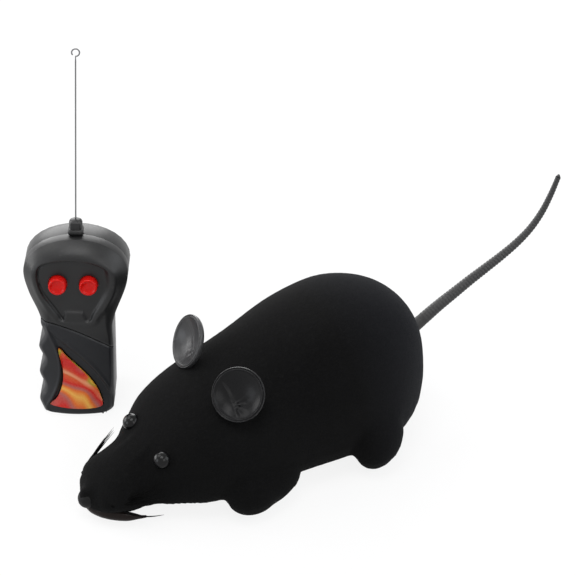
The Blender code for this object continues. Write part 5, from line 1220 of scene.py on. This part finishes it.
    def whisker_tuft(self, word: str, side: int) -> None:
        """A peg with a tuft of thin tapered bristles, swept back along the cheek.

        Args:
            word: left or right.
            side: -1 for the left side, 1 for the right.
        """
        x, y, z = self.whisker_root
        way = Vector((-0.35, side * 0.85, 0.4)).normalized()
        root = Vector((x, side * y, z))
        peg = Bench.turned(word + "_whisker_tuft", ((0.0, -3.0), (0.8, -3.0), (1.0, -2.7), (1.0, 0.7), (0.8, 1.2),
                                                    (0.45, 1.45), (0.0, 1.5)), 20)
        Bench.settle(peg, stood_on(root * MM, way))
        bristles = []
        for i, tip in enumerate(WHISKER_TIPS):
            start = root + way * (1.1 + 0.05 * (i % 3)) \
                + Vector((0.25 * math.cos(i * 2.4), 0, 0.25 * math.sin(i * 2.4)))
            end = Vector((tip[0], side * tip[1], tip[2]))
            bow = way * (0.5 + 0.25 * math.sin(i * 1.7)) + Vector((0, 0, 0.4 * math.cos(i * 2.1)))
            thick = 0.22 if side < 0 else 0.3
            if tip[2] < 7.0:
                bow, thick = Vector((0.0, side * 1.0, -2.6)), 0.5
            shares = [k / 12 for k in range(13)]
            points = [start.lerp(end, s) + bow * math.sin(math.pi * s) * 0.8 for s in shares]
            radii = [thick * (1 - s) ** 0.7 + 0.04 for s in shares]
            bristles.append(Bench.settle(Bench.tube(f"{word}_bristle_{i}", points, radii, 1), Matrix.Identity(4)))
        item = Bench.join(peg, *bristles)
        Bench.settle(item, Matrix.Translation(self.origin))
        Bench.shade(item, 60.0)
        self.paints.hand_over(item, "mouse", "vinyl", word + "_whiskers", paint="bristle")

    def tail(self) -> None:
        """The ringed rubber tail with soft rounded rings and a collar inside the shell."""
        root = self.tail_root
        fine = smooth_line([root] + [(root[0] + x, z) for x, z in self.tail_route], 60)
        lengths = np.concatenate([[0.0], np.cumsum(np.linalg.norm(np.diff(fine, axis=0), axis=1))])
        total = float(lengths[-1])
        first = self.tail_plain / total
        thick, thin = self.tail_radii
        shares = [0.0, 0.3 * first, 0.6 * first, 0.9 * first]
        radii = [thick] * len(shares)
        count = self.tail_ribs * len(RING_WAVE)
        for i in range(count + 1):
            share = first + (1 - first) * i / (count + 1)
            radius = thick + (thin - thick) * (share - first) / (1 - first)
            depth = 0.04 + 0.07 * eased(i / count * 2.5)
            shares.append(share)
            radii.append(radius * (1.0 - depth * (1.0 - RING_WAVE[i % len(RING_WAVE)])))
        for share, shrink in TAIL_END:
            shares.append(share)
            radii.append(thin * shrink)
        points = [(float(np.interp(s * total, lengths, fine[:, 0])), 0.0,
                   float(np.interp(s * total, lengths, fine[:, 1]))) for s in shares]
        item = Bench.tube("ringed_tail", points, radii, 6)
        collar = Bench.turned("tail_collar", ((0.0, -0.7), (3.3, -0.7), (3.6, -0.4), (3.6, 0.4), (3.3, 0.7),
                                              (0.0, 0.7)), 32)
        way = Vector((points[1][0] - points[0][0], 0, points[1][2] - points[0][2])).normalized()
        Bench.settle(collar, stood_on(Vector(points[0]) * MM, way))
        Bench.join(item, collar)
        Bench.settle(item, Matrix.Translation(self.origin))
        Bench.shade(item, 50.0)
        self.paints.hand_over(item, "mouse", "tail_rubber", "tail")

    def wheel(self, word: str, side: int) -> None:
        """A tyre with cross tread and its hub with lightening holes.

        Args:
            word: left or right.
            side: -1 for the left side, 1 for the right.
        """
        low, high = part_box(word + "_tyre")
        place = Matrix.Translation((low + high) / 2) @ tilted(-90 * side)
        radius, half = (high.z - low.z) / 2 / MM, (high.y - low.y) / 2 / MM
        tyre = Bench.turned(word + "_tyre_tread", ((7.2, -half), (8.6, -half), (radius - 0.45, -half + 0.35),
                                                   (radius, -half + 1.0), (radius, half - 1.0),
                                                   (radius - 0.45, half - 0.35), (8.6, half), (7.2, half),
                                                   (7.2, -half)), 108)
        for vertex in tyre.data.vertices:
            reach = math.hypot(vertex.co.x, vertex.co.y)
            if reach > (radius - 0.6) * MM:
                turn = math.atan2(vertex.co.y, vertex.co.x) + 8.0 * abs(vertex.co.z)
                rib = eased((math.cos(turn * self.tread_ribs) - 0.1) / 0.5)
                scale = 1.0 - self.tread_depth * MM * (1 - rib) / reach
                vertex.co.x *= scale
                vertex.co.y *= scale
        Bench.settle(tyre, place)
        Bench.shade(tyre, 30.0)
        self.paints.hand_over(tyre, "rear_axle", "tyre_rubber", word + "_tyre")
        hub = Bench.turned(word + "_hub_disc", ((1.3, half), (2.4, half), (2.9, half - 0.5), (3.1, half - 1.6),
                                                (5.0, half - 1.6), (5.4, half - 0.4), (5.8, half), (6.6, half),
                                                (6.9, half - 0.3), (6.9, -half), (5.9, -half), (5.6, -half + 1.2),
                                                (1.3, -half + 1.2), (1.3, half)), 60)
        for i in range(self.hub_holes):
            angle = math.tau * i / self.hub_holes
            spot = Vector((math.cos(angle), math.sin(angle), 0)) * 4.05 * MM
            Bench.clear()
            bpy.ops.mesh.primitive_cylinder_add(vertices=20, radius=0.95 * MM, depth=20 * MM, location=spot)
            Bench.carve(hub, Bench.named("hub_drill"))
        Bench.settle(hub, place)
        Bench.shade(hub, 30.0)
        self.paints.hand_over(hub, "rear_axle", "wheel_plastic", word + "_wheel_hub")

    def caster(self) -> None:
        """The caster's roller with rounded shoulders and sunk sides."""
        low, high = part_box("caster_wheel")
        radius, half = (high.z - low.z) / 2 / MM, (high.y - low.y) / 2 / MM
        upper = [(1.1, half - 0.4), (2.2, half - 0.4), (2.5, half), (radius - 0.6, half),
                 (radius - 0.12, half - 0.55), (radius, half - 1.2)]
        lower = [(reach, -height) for reach, height in reversed(upper)]
        roller = Bench.turned("caster_roller_tyre", upper + lower + upper[:1], 48)
        Bench.settle(roller, Matrix.Translation((low + high) / 2) @ tilted(90))
        Bench.shade(roller, 30.0)
        self.paints.hand_over(roller, "caster_roller", "tyre_rubber", "caster_wheel")


# ---------------------------------------------------------------- the handset

class Cover(Enum):
    """The two covers of the handset's front."""

    FACE = "face_cover"
    GRIP = "grip_cover"


@dataclass
class Handset:
    """The handset: covers, buttons, foil insert and antenna, in its own upright frame, in mm."""

    nodes: dict
    paints: Paintbox
    frame: Matrix
    height: float = 71.6
    head_half: float = 20.2
    head_centre: float = 58.0
    grip_half: float = 13.9
    grip_top: float = 35.0
    foot: float = -1.0
    half_depth: float = 11.0
    head_bevel: float = 5.6
    grip_bevel: float = 1.6
    wall: float = 1.5
    seam_gap: float = 0.26
    button_height: float = 54.8
    button_shift: float = -0.7
    button_spacing: float = 11.9
    button_radius: float = 3.5
    face_rows: int = 120
    grid_columns: int = 110
    tongue_rows: int = 3
    tongue_depth: float = 1.6
    window_depth: float = 1.2
    fitting_rounds: int = 12
    antenna_lean: float = 0.9
    antenna_top: float = 147.2
    loop_radius: float = 1.5
    loop_steps: int = 28
    wire_radius: float = 0.3

    def build(self) -> None:
        """Build and dress every piece of the handset."""
        self.trace()
        for cover in Cover:
            self.front_cover(cover)
        self.rear_cover()
        self.insert()
        self.buttons()
        self.antenna()
        self.door()

    def trace(self) -> None:
        """Work out the outlines on the face."""
        heights = np.concatenate([np.linspace(self.foot, self.head_centre, 150),
                                  self.head_centre + (self.height - self.head_centre)
                                  * np.sin(np.linspace(0, math.pi / 2, 200)[1:])])
        sides = [np.stack([sign * self.half_widths(heights, np.full(len(heights), sign < 0)), heights], axis=1)
                 for sign in (1, -1)]
        self.outline = np.vstack([sides[0], sides[1][::-1]])
        self.panel = smooth_line(((-5.1, 39.0), (-7.5, 42.2), (-10.5, 46.5), (-13.1, 50.5), (-14.6, 54.8),
                                  (-15.0, 59.3), (-13.4, 62.6), (-8.3, 64.5), (-2.0, 65.1), (4.5, 64.6),
                                  (10.6, 62.6), (13.7, 59.4), (14.4, 55.6), (13.7, 51.6), (12.2, 48.6),
                                  (9.9, 45.3), (7.5, 42.2), (5.6, 39.0), (0.3, 38.2)), 6, True)
        self.tab = np.array(((-3.8, 43.2), (2.7, 43.0), (5.6, 37.0), (-5.4, 37.0)))
        self.left_ridge = smooth_line(((-12.2, 39.0), (-11.5, 37.3), (-9.8, 32.6), (-7.9, 27.9), (-6.7, 22.9),
                                       (-6.4, 17.4), (-7.3, 12.0), (-9.5, 6.6), (-11.6, 2.6), (-12.6, -1.0)), 6)
        self.right_ridge = smooth_line(((-12.2, 39.0), (-11.2, 37.4), (-6.7, 32.6), (-1.9, 28.3), (3.2, 23.6),
                                        (8.4, 17.8), (12.2, 12.0), (14.6, 6.9)), 6)
        self.field = np.vstack([self.left_ridge, ((14.6, -1.5),), self.right_ridge[::-1]])
        self.window = smooth_line(((-6.8, 27.7), (-5.2, 19.0), (-5.4, 12.6), (-7.6, 6.6), (-10.2, 3.9), (-5.0, 2.9),
                                   (0.6, 2.6), (5.4, 2.7), (9.4, 3.3), (10.2, 5.2), (8.4, 10.5), (5.2, 15.2),
                                   (1.0, 19.8), (-3.2, 23.9)), 3, True)

    def half_widths(self, z: np.ndarray, left: np.ndarray) -> np.ndarray:
        """Half widths of the front at heights, with the finger waves on its left.

        Args:
            z: Heights in mm.
            left: Whether each is on the left side.

        Returns:
            One half width in mm for each height.
        """
        share = np.clip((z - self.head_centre) / (self.height - self.head_centre), 0.0, 1.0)
        crown = self.head_half * np.sqrt(1 - share * share)
        blend = ramp(z, self.grip_top, self.head_centre - self.grip_top)
        width = self.grip_half + (self.head_half - self.grip_half) * blend
        corner = np.where(left, 2.2, 4.0)
        short = np.clip(corner - (z - self.foot), 0.0, corner)
        width = width - corner + np.sqrt(corner * corner - short * short)
        fade = 1 - ramp(z, self.grip_top, 6.0)
        neck = 1 - eased(np.abs(z - self.grip_top - 4.0) / 10.0)
        width = width + left * (fade * (np.cos(math.tau * (z - 4.9) / 11.1) - 0.4) - 0.9 * neck)
        width = width + ~left * 0.5 * (1 - ramp(z, 28.0, 10.0)) * ramp(z, -1.0, 3.0)
        return np.where(z >= self.head_centre, crown, width)

    def seam(self, x: np.ndarray) -> np.ndarray:
        """Height of the seam between the face cover and the grip cover."""
        share = (x + self.grip_half) / (2 * self.grip_half)
        return 39.3 - 11.2 * share + 4.8 * share * (1 - share)

    def depth(self, points: np.ndarray) -> np.ndarray:
        """How far the front stands out from the parting plane.

        Args:
            points: Points of the face, one (x, z) to a row, in mm.

        Returns:
            One depth in mm for each point.
        """
        x, z = points[:, 0], points[:, 1]
        edge = line_distance(points, self.outline, True)
        head = ramp(z, self.grip_top - 4.0, self.head_centre - self.grip_top)
        below = 1 - ramp(z, 30.0, 10.0)
        rise = np.clip(edge / (self.grip_bevel + (self.head_bevel + 0.6 - self.grip_bevel) * head), 0.0, 1.0)
        low_right = head * (1 - 0.45 * ramp(x, 0.0, 6.0) * (1 - ramp(z, 54.0, 9.0)))
        drop = (self.grip_bevel + (self.head_bevel - self.grip_bevel) * low_right) * (1 - rise) ** 1.7
        crown = np.clip(1 - (x / self.grip_half) ** 2, 0.0, 1.0) * (0.5 + 2.1 * (1 - ramp(z, 0.0, 18.0)))
        finger = np.interp(z, self.left_ridge[::-1, 1], self.left_ridge[::-1, 0])
        slope = np.clip((finger - x) / 8.0, 0.0, 1.0) * below
        deep = self.half_depth - drop + below * crown - 2.2 * slope ** 1.25
        deep -= 0.55 * ramp(depth_inside(points, self.field), 0.1, 1.1) * below
        for ridge in (self.left_ridge, self.right_ridge):
            away = line_distance(points, ridge, False)
            deep += 0.28 * bell(away, 0.5) * (1 - ramp(z, 36.5, 2.0)) * eased(edge / 1.5)
        pit = depth_inside(points, self.panel)
        soft = 0.55 + 2.4 * ramp(x, 4.0, 8.0) * (1 - ramp(z, 58.0, 4.0))
        tab = ramp(depth_inside(points, self.tab), -0.7, 1.5)
        deep -= 1.15 * eased(pit / soft) * (1 - 0.75 * tab)
        deep -= 0.3 * bell(pit - 0.75, 0.35) * (1 - ramp(x, -1.0, 4.0)) * (1 - tab)
        lip = bell(pit + 1.3, 1.1) * (1 - ramp(z, 60.0, 5.0)) * eased(edge / 2.0)
        deep += 0.45 * lip * ramp(z, 36.0, 5.0)
        return deep - 0.4 * bell(z - self.seam(x), 0.4)

    def front_sheet(self, face: bool, flat: np.ndarray) -> tuple[np.ndarray, np.ndarray]:
        """Fit a square grid to a front cover.

        Args:
            face: Whether it is the face cover, which has a tongue behind the seam.
            flat: The grid's points, from -1 to 1.

        Returns:
            Points of the front, one (x, z) to a row, and one depth for each, in mm.
        """
        u = np.sin(flat[:, 0] * math.pi / 2) * 0.55 + flat[:, 0] * 0.45
        v = (flat[:, 1] + 1) / 2
        x = u * self.grip_half
        row = np.rint(v * self.face_rows).astype(int)
        tongue = (row < self.tongue_rows) & face
        share = np.clip((row - self.tongue_rows) / (self.face_rows - self.tongue_rows), 0.0, 1.0)
        rise = 0.85 * np.sin(share * math.pi / 2) + 0.15 * share
        for _ in range(self.fitting_rounds):
            seam = self.seam(np.clip(x, -16.0, 16.0)) + self.seam_gap * (0.5 if face else -0.5)
            if face:
                z = seam + (self.height - 0.02 - seam) * rise - np.where(tongue, 0.8 * (2 - row), 0.0)
            else:
                z = seam + (self.foot - seam) * np.sin((1 - v) * math.pi / 2)
            x = u * (self.half_widths(z, u < 0) - 2.0 * tongue)
        points = np.stack([x, z], axis=1)
        deep = self.depth(points) - self.tongue_depth * tongue
        if not face:
            deep = deep - self.window_depth * ramp(depth_inside(points, self.window), -0.25, 0.22)
        return points, deep

    def front_cover(self, cover: Cover) -> None:
        """One of the front covers: a fitted sheet with its wall behind it.

        Args:
            cover: Which one.
        """
        face = cover is Cover.FACE
        Bench.clear()
        bpy.ops.mesh.primitive_grid_add(x_subdivisions=self.grid_columns,
                                        y_subdivisions=self.face_rows if face else self.grid_columns, size=2.0)
        item = Bench.named(cover.value + "_shell")
        points, deep = self.front_sheet(face, np.array([v.co[:] for v in item.data.vertices]))
        for vertex, (x, z), out in zip(item.data.vertices, points, deep):
            vertex.co = self.above_table(x, -out, z)
        Bench.take(item)
        Bench.open_up()
        bpy.ops.mesh.remove_doubles(threshold=5e-6)
        self.wall_up(item, cover)
        if sum(side.normal.y * side.area for side in item.data.polygons) > 0:
            Bench.open_up()
            bpy.ops.mesh.flip_normals()
            bpy.ops.object.mode_set(mode="OBJECT")
        Bench.modify(item, "SOLIDIFY", thickness=self.wall * MM, offset=-1.0, use_even_offset=False,
                     use_quality_normals=False)
        for vertex in item.data.vertices:
            vertex.co = self.above_table(*(vertex.co / MM))
        if face:
            for side in (-1, 1):
                Bench.clear()
                bpy.ops.mesh.primitive_cylinder_add(
                    vertices=48, radius=(self.button_radius + 0.35) * MM, depth=12 * MM,
                    location=self.button_place(side) - Vector((0, 10 * MM, 0)), rotation=(math.radians(90), 0, 0))
                Bench.carve(item, Bench.named("button_drill"))
        Bench.settle(item, self.frame)
        Bench.shade(item, 76.0)
        self.paints.hand_over(item, "handset", "case_plastic" if face else "grip_plastic", cover.value)

    def wall_up(self, item: bpy.types.Object, cover: Cover) -> None:
        """Run a wall from a sheet's edge back to the parting plane, but not along the seam.

        Args:
            item: The sheet, in edit mode.
            cover: Which cover it is.
        """
        bpy.ops.mesh.select_all(action="DESELECT")
        bpy.ops.object.mode_set(mode="OBJECT")
        rims = self.rim_edges(item, cover)
        bpy.ops.object.mode_set(mode="EDIT")
        bpy.context.tool_settings.mesh_select_mode = (False, True, False)
        bpy.ops.object.mode_set(mode="OBJECT")
        for index in rims:
            item.data.edges[index].select = True
        bpy.ops.object.mode_set(mode="EDIT")
        bpy.ops.mesh.extrude_region_move(TRANSFORM_OT_translate={"value": (0, MM, 0)})
        bpy.ops.object.mode_set(mode="OBJECT")
        for vertex in item.data.vertices:
            if vertex.select:
                vertex.co = self.above_table(vertex.co.x / MM, -0.06, vertex.co.z / MM)
        bpy.context.tool_settings.mesh_select_mode = (True, False, False)
        Bench.close_up(item, 5e-6)

    def button_place(self, side: int) -> Vector:
        """Where a button stands in the parting plane, in metres."""
        return Vector((self.button_shift + side * self.button_spacing / 2, 0, self.button_height)) * MM

    def above_table(self, x: float, y: float, z: float) -> Vector:
        """A point of the handset's frame, lifted to the table if it would be under it.

        Args:
            x: Its place to the right in mm.
            y: Its place to the rear in mm.
            z: Its height in mm.

        Returns:
            The point in metres.
        """
        row = self.frame[2]
        table = -(row[3] / MM + row[0] * x + row[1] * y) / row[2]
        return Vector((x, y, max(z, table + 0.03))) * MM

    def rim_edges(self, item: bpy.types.Object, cover: Cover) -> list[int]:
        """Find the open edges of a cover's sheet, but for those along the seam.

        Args:
            item: The sheet.
            cover: Which cover it is.

        Returns:
            The edges' indices.
        """
        mesh = item.data
        used: dict = {}
        for face in mesh.polygons:
            for key in face.edge_keys:
                used[key] = used.get(key, 0) + 1
        side = 1.0 if cover is Cover.FACE else -1.0
        found = []
        for edge in mesh.edges:
            ends = np.array([mesh.vertices[i].co[:] for i in edge.vertices]) / MM
            past = side * (ends[:, 2] - self.seam(ends[:, 0])) - self.seam_gap / 2
            if used.get(tuple(sorted(edge.vertices)), 0) == 1 and past.max() > 0.05:
                found.append(edge.index)
        return found

    @staticmethod
    def grown(loop: np.ndarray, margin: float) -> list[Pair]:
        """Move a counterclockwise outline outward.

        Args:
            loop: Its points.
            margin: How far it moves, in mm.

        Returns:
            The moved points.
        """
        result = []
        for i, point in enumerate(loop):
            before = point - loop[i - 1]
            after = loop[(i + 1) % len(loop)] - point
            before = before / np.linalg.norm(before)
            after = after / np.linalg.norm(after)
            first = np.array((before[1], -before[0]))
            second = np.array((after[1], -after[0]))
            moved = point + (first + second) * margin / (1 + float(first @ second))
            result.append((float(moved[0]), float(moved[1])))
        return result

    def rear_cover(self) -> None:
        """The rear shell with softened edges."""
        item = Bench.copied("rear_cover_shell", self.nodes["rear_cover"], 0.2)
        inverse = self.frame.inverted()
        for vertex in item.data.vertices:
            local = inverse @ vertex.co / MM
            if local.x > 12.0 and local.z < 40.0 and local.y > 0.0:
                share = ramp(local.x, 12.0, 1.5) * (1 - ramp(local.z, 30.0, 8.0))
                vertex.co += self.frame.to_3x3() @ Vector((0.4 * share * MM, 0, 0))
        self.paints.hand_over(item, "handset", "case_plastic", "rear_cover")

    def insert(self) -> None:
        """The crowned foil insert in its window."""
        loop = self.grown(self.window, -0.05)
        Bench.clear()
        bpy.ops.mesh.primitive_grid_add(x_subdivisions=60, y_subdivisions=80, size=2.0)
        item = Bench.named("foil_insert")
        for vertex in item.data.vertices:
            vertex.co = (vertex.co.x * 13 * MM, 0.0, (14.5 + vertex.co.y * 15) * MM)
        points = np.array([(v.co.x, v.co.z) for v in item.data.vertices]) / MM
        deep = self.depth(points) - 0.15
        for vertex, d in zip(item.data.vertices, deep):
            vertex.co.y = -d * MM
        layer = item.data.uv_layers[0] if item.data.uv_layers else item.data.uv_layers.new(name="face")
        for corner in item.data.loops:
            at = points[corner.vertex_index]
            layer.data[corner.index].uv = ((at[0] + 13.0) / 26.0, (at[1] + 0.5) / 30.0)
        Bench.modify(item, "SOLIDIFY", thickness=1.0 * MM, offset=1.0)
        Bench.close_up(item)
        Bench.carve(item, Bench.slab("window_keep", loop, -18.0, -4.0), "INTERSECT")
        Bench.settle(item, self.frame)
        Bench.shade(item, 40.0)
        self.paints.hand_over(item, "handset", "insert_foil", "decor_insert")

    def buttons(self) -> None:
        """Two glossy dished buttons."""
        top = self.half_depth - 0.8 + 3.0
        r = self.button_radius
        profile = [(0.0, top - 0.75), (0.3 * r, top - 0.72), (0.55 * r, top - 0.6), (0.70 * r, top - 0.34),
                   (0.77 * r, top - 0.1), (0.82 * r, top), (0.88 * r, top - 0.04), (0.945 * r, top - 0.24),
                   (0.985 * r, top - 0.55), (r, top - 1.0), (r, 8.9), (r + 0.8, 8.9), (r + 0.8, 8.05), (0.0, 8.05)]
        for side, word in ((-1, "left"), (1, "right")):
            item = Bench.turned(word + "_button_cap", profile, 64)
            Bench.settle(item, self.frame @ Matrix.Translation(self.button_place(side)) @ tilted(90))
            Bench.shade(item, 35.0)
            self.paints.hand_over(item, word + "_button_cap", "button_red", word + "_button")

    def antenna(self) -> None:
        """The stepped boss with flat sides, and the wire with its end loop."""
        foot = self.height + 0.1
        base = Bench.block("antenna_boss", (6.0, 6.0, 2.7), (0, 0, foot + 1.35), 1.1, 3)
        upper = Bench.block("antenna_boss_neck", (4.2, 4.6, 4.0), (0, -0.4, foot + 2.7 + 1.1), 0.7, 3)
        ring = Bench.turned("antenna_boss_ring", ((0.0, foot + 1.0), (2.6, foot + 1.0), (2.6, foot + 5.2),
                                                  (2.3, foot + 5.8), (1.6, foot + 6.2), (0.8, foot + 6.4),
                                                  (0.0, foot + 6.4)), 40)
        plug = Bench.turned("antenna_boss_plug", ((0.0, foot - 3.2), (3.3, foot - 3.2), (3.3, foot - 2.1),
                                                  (2.1, foot - 2.0), (2.1, foot + 0.3), (0.0, foot + 0.3)), 28)
        item = Bench.join(base, upper, ring, plug)
        Bench.settle(item, self.frame)
        Bench.shade(item, 35.0)
        self.paints.hand_over(item, "handset", "case_plastic", "antenna_base")
        lean = math.radians(self.antenna_lean)
        way = np.array((math.sin(lean), 0.0, math.cos(lean)))
        across = np.array((way[2], 0.0, -way[0]))
        start = np.array((0.0, 0.0, foot + 6.5))
        reach = self.antenna_top - self.loop_radius - start[2]
        centre = start + way * (reach + self.loop_radius)
        points = [np.array((0.0, 0.0, foot - 2.0))] + [start + way * reach * s for s in (0.0, 0.25, 0.5, 0.75, 0.97)]
        for i in range(self.loop_steps + 1):
            angle = -math.pi / 2 + math.radians(312.0) * i / self.loop_steps
            points.append(centre + self.loop_radius * (math.cos(angle) * across + math.sin(angle) * way))
        wire = Bench.tube("antenna_rod", points, [self.wire_radius] * len(points), 3)
        Bench.settle(wire, self.frame)
        Bench.shade(wire, 60.0)
        self.paints.hand_over(wire, "handset", "steel", "antenna_wire", paint="wire_steel")

    def door(self) -> None:
        """The battery door with softened edges."""
        item = Bench.copied("handset_door_moulding", self.nodes["handset_battery_door"], 0.2)
        self.paints.hand_over(item, "handset_door", "case_plastic", "handset_battery_door")


# ---------------------------------------------------------------- the studio

WHITE = (1.0, 1.0, 1.0)
LAMPS = (("key", (-0.40, 0.55, 0.95), 0.6, 3.0, WHITE), ("back_left", (-0.75, 0.95, 0.20), 0.8, 10.0, WHITE),
         ("back", (0.42, 1.05, 0.42), 1.0, 13.0, WHITE), ("front", (0.0, -1.2, 0.95), 0.7, 3.5, WHITE),
         ("right", (0.9, -0.75, 0.75), 0.9, 6.0, (0.92, 0.96, 1.0)),
         ("left", (-1.2, 0.15, 0.35), 0.6, 3.0, (0.90, 0.94, 1.0)), ("top", (-0.26, -0.20, 1.25), 0.6, 5.5, WHITE))


@dataclass
class Studio:
    """Camera, floor, backdrop and lamps."""

    origin: Vector
    camera_place: Triple = (-575.55, -1061.14, 1057.93)
    camera_aim: Triple = (92.653, 4.68, 68.239)
    lens: float = 264.45
    ambient: float = 0.42
    floor_glow: float = 0.86
    lamp_aim: Triple = (-0.02, 0.0, 0.03)

    def build(self) -> None:
        """Build the whole studio."""
        bpy.context.scene.view_settings.view_transform = "Standard"
        self.camera()
        self.floor()
        self.world()
        self.lamps()

    def camera(self) -> None:
        """Stand the camera where the photograph was taken from."""
        Bench.clear()
        place = self.origin + Vector(self.camera_place) * MM
        aim = self.origin + Vector(self.camera_aim) * MM
        bpy.ops.object.camera_add(location=place, rotation=(aim - place).to_track_quat("-Z", "Y").to_euler())
        item = bpy.context.active_object
        item.name = "camera"
        item.data.lens = self.lens
        item.data.sensor_width = 36.0
        item.data.clip_end = 20.0
        bpy.context.scene.camera = item

    def floor(self) -> None:
        """A pale floor that keeps the object's shadow and lets a view from below through."""
        Bench.clear()
        bpy.ops.mesh.primitive_plane_add(size=8.0, location=(0, 0, 0))
        item = Bench.named("studio_floor")
        material, n, shader = fresh_material("studio floor")
        n.fill(shader, Base_Color=(0.86, 0.86, 0.86, 1.0), Roughness=0.9, Specular_IOR_Level=0.1)
        mix = n.add("MixShader", in0=n.calc(n.seen(), self.floor_glow), in1=shader.outputs[0],
                    in2=n.add("Emission", Strength=1.0).outputs[0])
        under = n.add("MixShader", in0=n.add("NewGeometry").outputs["Backfacing"], in1=mix.outputs[0],
                      in2=n.add("BsdfTransparent").outputs[0])
        n.feed(n.tree.nodes["Material Output"].inputs[0], under.outputs[0])
        item.data.materials.append(material)

    def world(self) -> None:
        """White where it is seen or mirrored, and a plain ambient light elsewhere."""
        world = bpy.data.worlds.new("studio")
        bpy.context.scene.world = world
        world.use_nodes = True
        n = Nodes(world.node_tree)
        n.fill(world.node_tree.nodes["Background"], Color=(*WHITE, 1.0),
               Strength=n.span(n.seen(), 0.0, 1.0, self.ambient, 1.0))

    def lamps(self) -> None:
        """Large soft lamps round the toy, none of them strong."""
        for name, place, size, power, tint in LAMPS:
            Bench.clear()
            turn = (Vector(self.lamp_aim) - Vector(place)).to_track_quat("-Z", "Y").to_euler()
            bpy.ops.object.light_add(type="AREA", location=place, rotation=turn)
            lamp = bpy.context.active_object
            lamp.name = name + "_lamp"
            lamp.data.size = size
            lamp.data.energy = power
            lamp.data.color = tint


CASTER_TURN_X = 38.0
HANDSET_STAND = (33.6, 64.8, -2.287)
HANDSET_TURNS = (-12.0, 0.0, -33.6)


KEPT = {
    "base_screw_front": "steel", "base_screw_rear_left": "steel", "base_screw_rear_right": "steel",
    "mouse_cell_left": "cell_jacket", "mouse_cell_right": "cell_jacket", "mouse_contact_front": "steel",
    "mouse_contact_rear": "steel", "receiver_board": "board", "power_switch": "steel", "drive_motor": "motor_can",
    "reduction_pin": "steel", "gearbox_cover": "housing_plastic", "mouse_door_screw": "steel",
    "caster_retainer": "steel", "caster_axle": "steel", "drive_axle": "steel", "axle_gear": "gear_nylon",
    "reduction_gear": "gear_nylon", "motor_shaft": "steel", "motor_pinion": "brass", "transmitter_board": "board",
    "left_tact_switch": "chip", "right_tact_switch": "chip", "crystal": "steel", "handset_cell_left": "cell_jacket",
    "handset_cell_right": "cell_jacket", "handset_contact_bottom": "steel", "handset_contact_top": "steel",
    "case_screw_left": "steel", "case_screw_right": "steel", "handset_door_screw": "steel",
}


def joint_place(frame: dict, name: str) -> Vector:
    """Where a joint of the record stands."""
    return Vector(next(j["pos_m"] for j in frame["joints"] if j["name"] == name))


def main() -> None:
    """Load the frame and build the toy's looks."""
    logging.basicConfig(level=logging.INFO, format="%(message)s")
    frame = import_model()
    origin = joint_place(frame, "caster_swivel_turn") - Vector((CASTER_TURN_X * MM, 0, 0))
    origin.z = 0.0
    Studio(origin).build()
    paints = Paintbox()
    Mouse(frame["nodes"], paints, origin).build()
    place = Matrix.Translation(origin + Vector(HANDSET_STAND) * MM) @ tilted(*HANDSET_TURNS)
    Handset(frame["nodes"], paints, place).build()
    for name, slot in KEPT.items():
        paints.dress_node(frame["nodes"][name], slot)


if __name__ == "__main__":
    main()
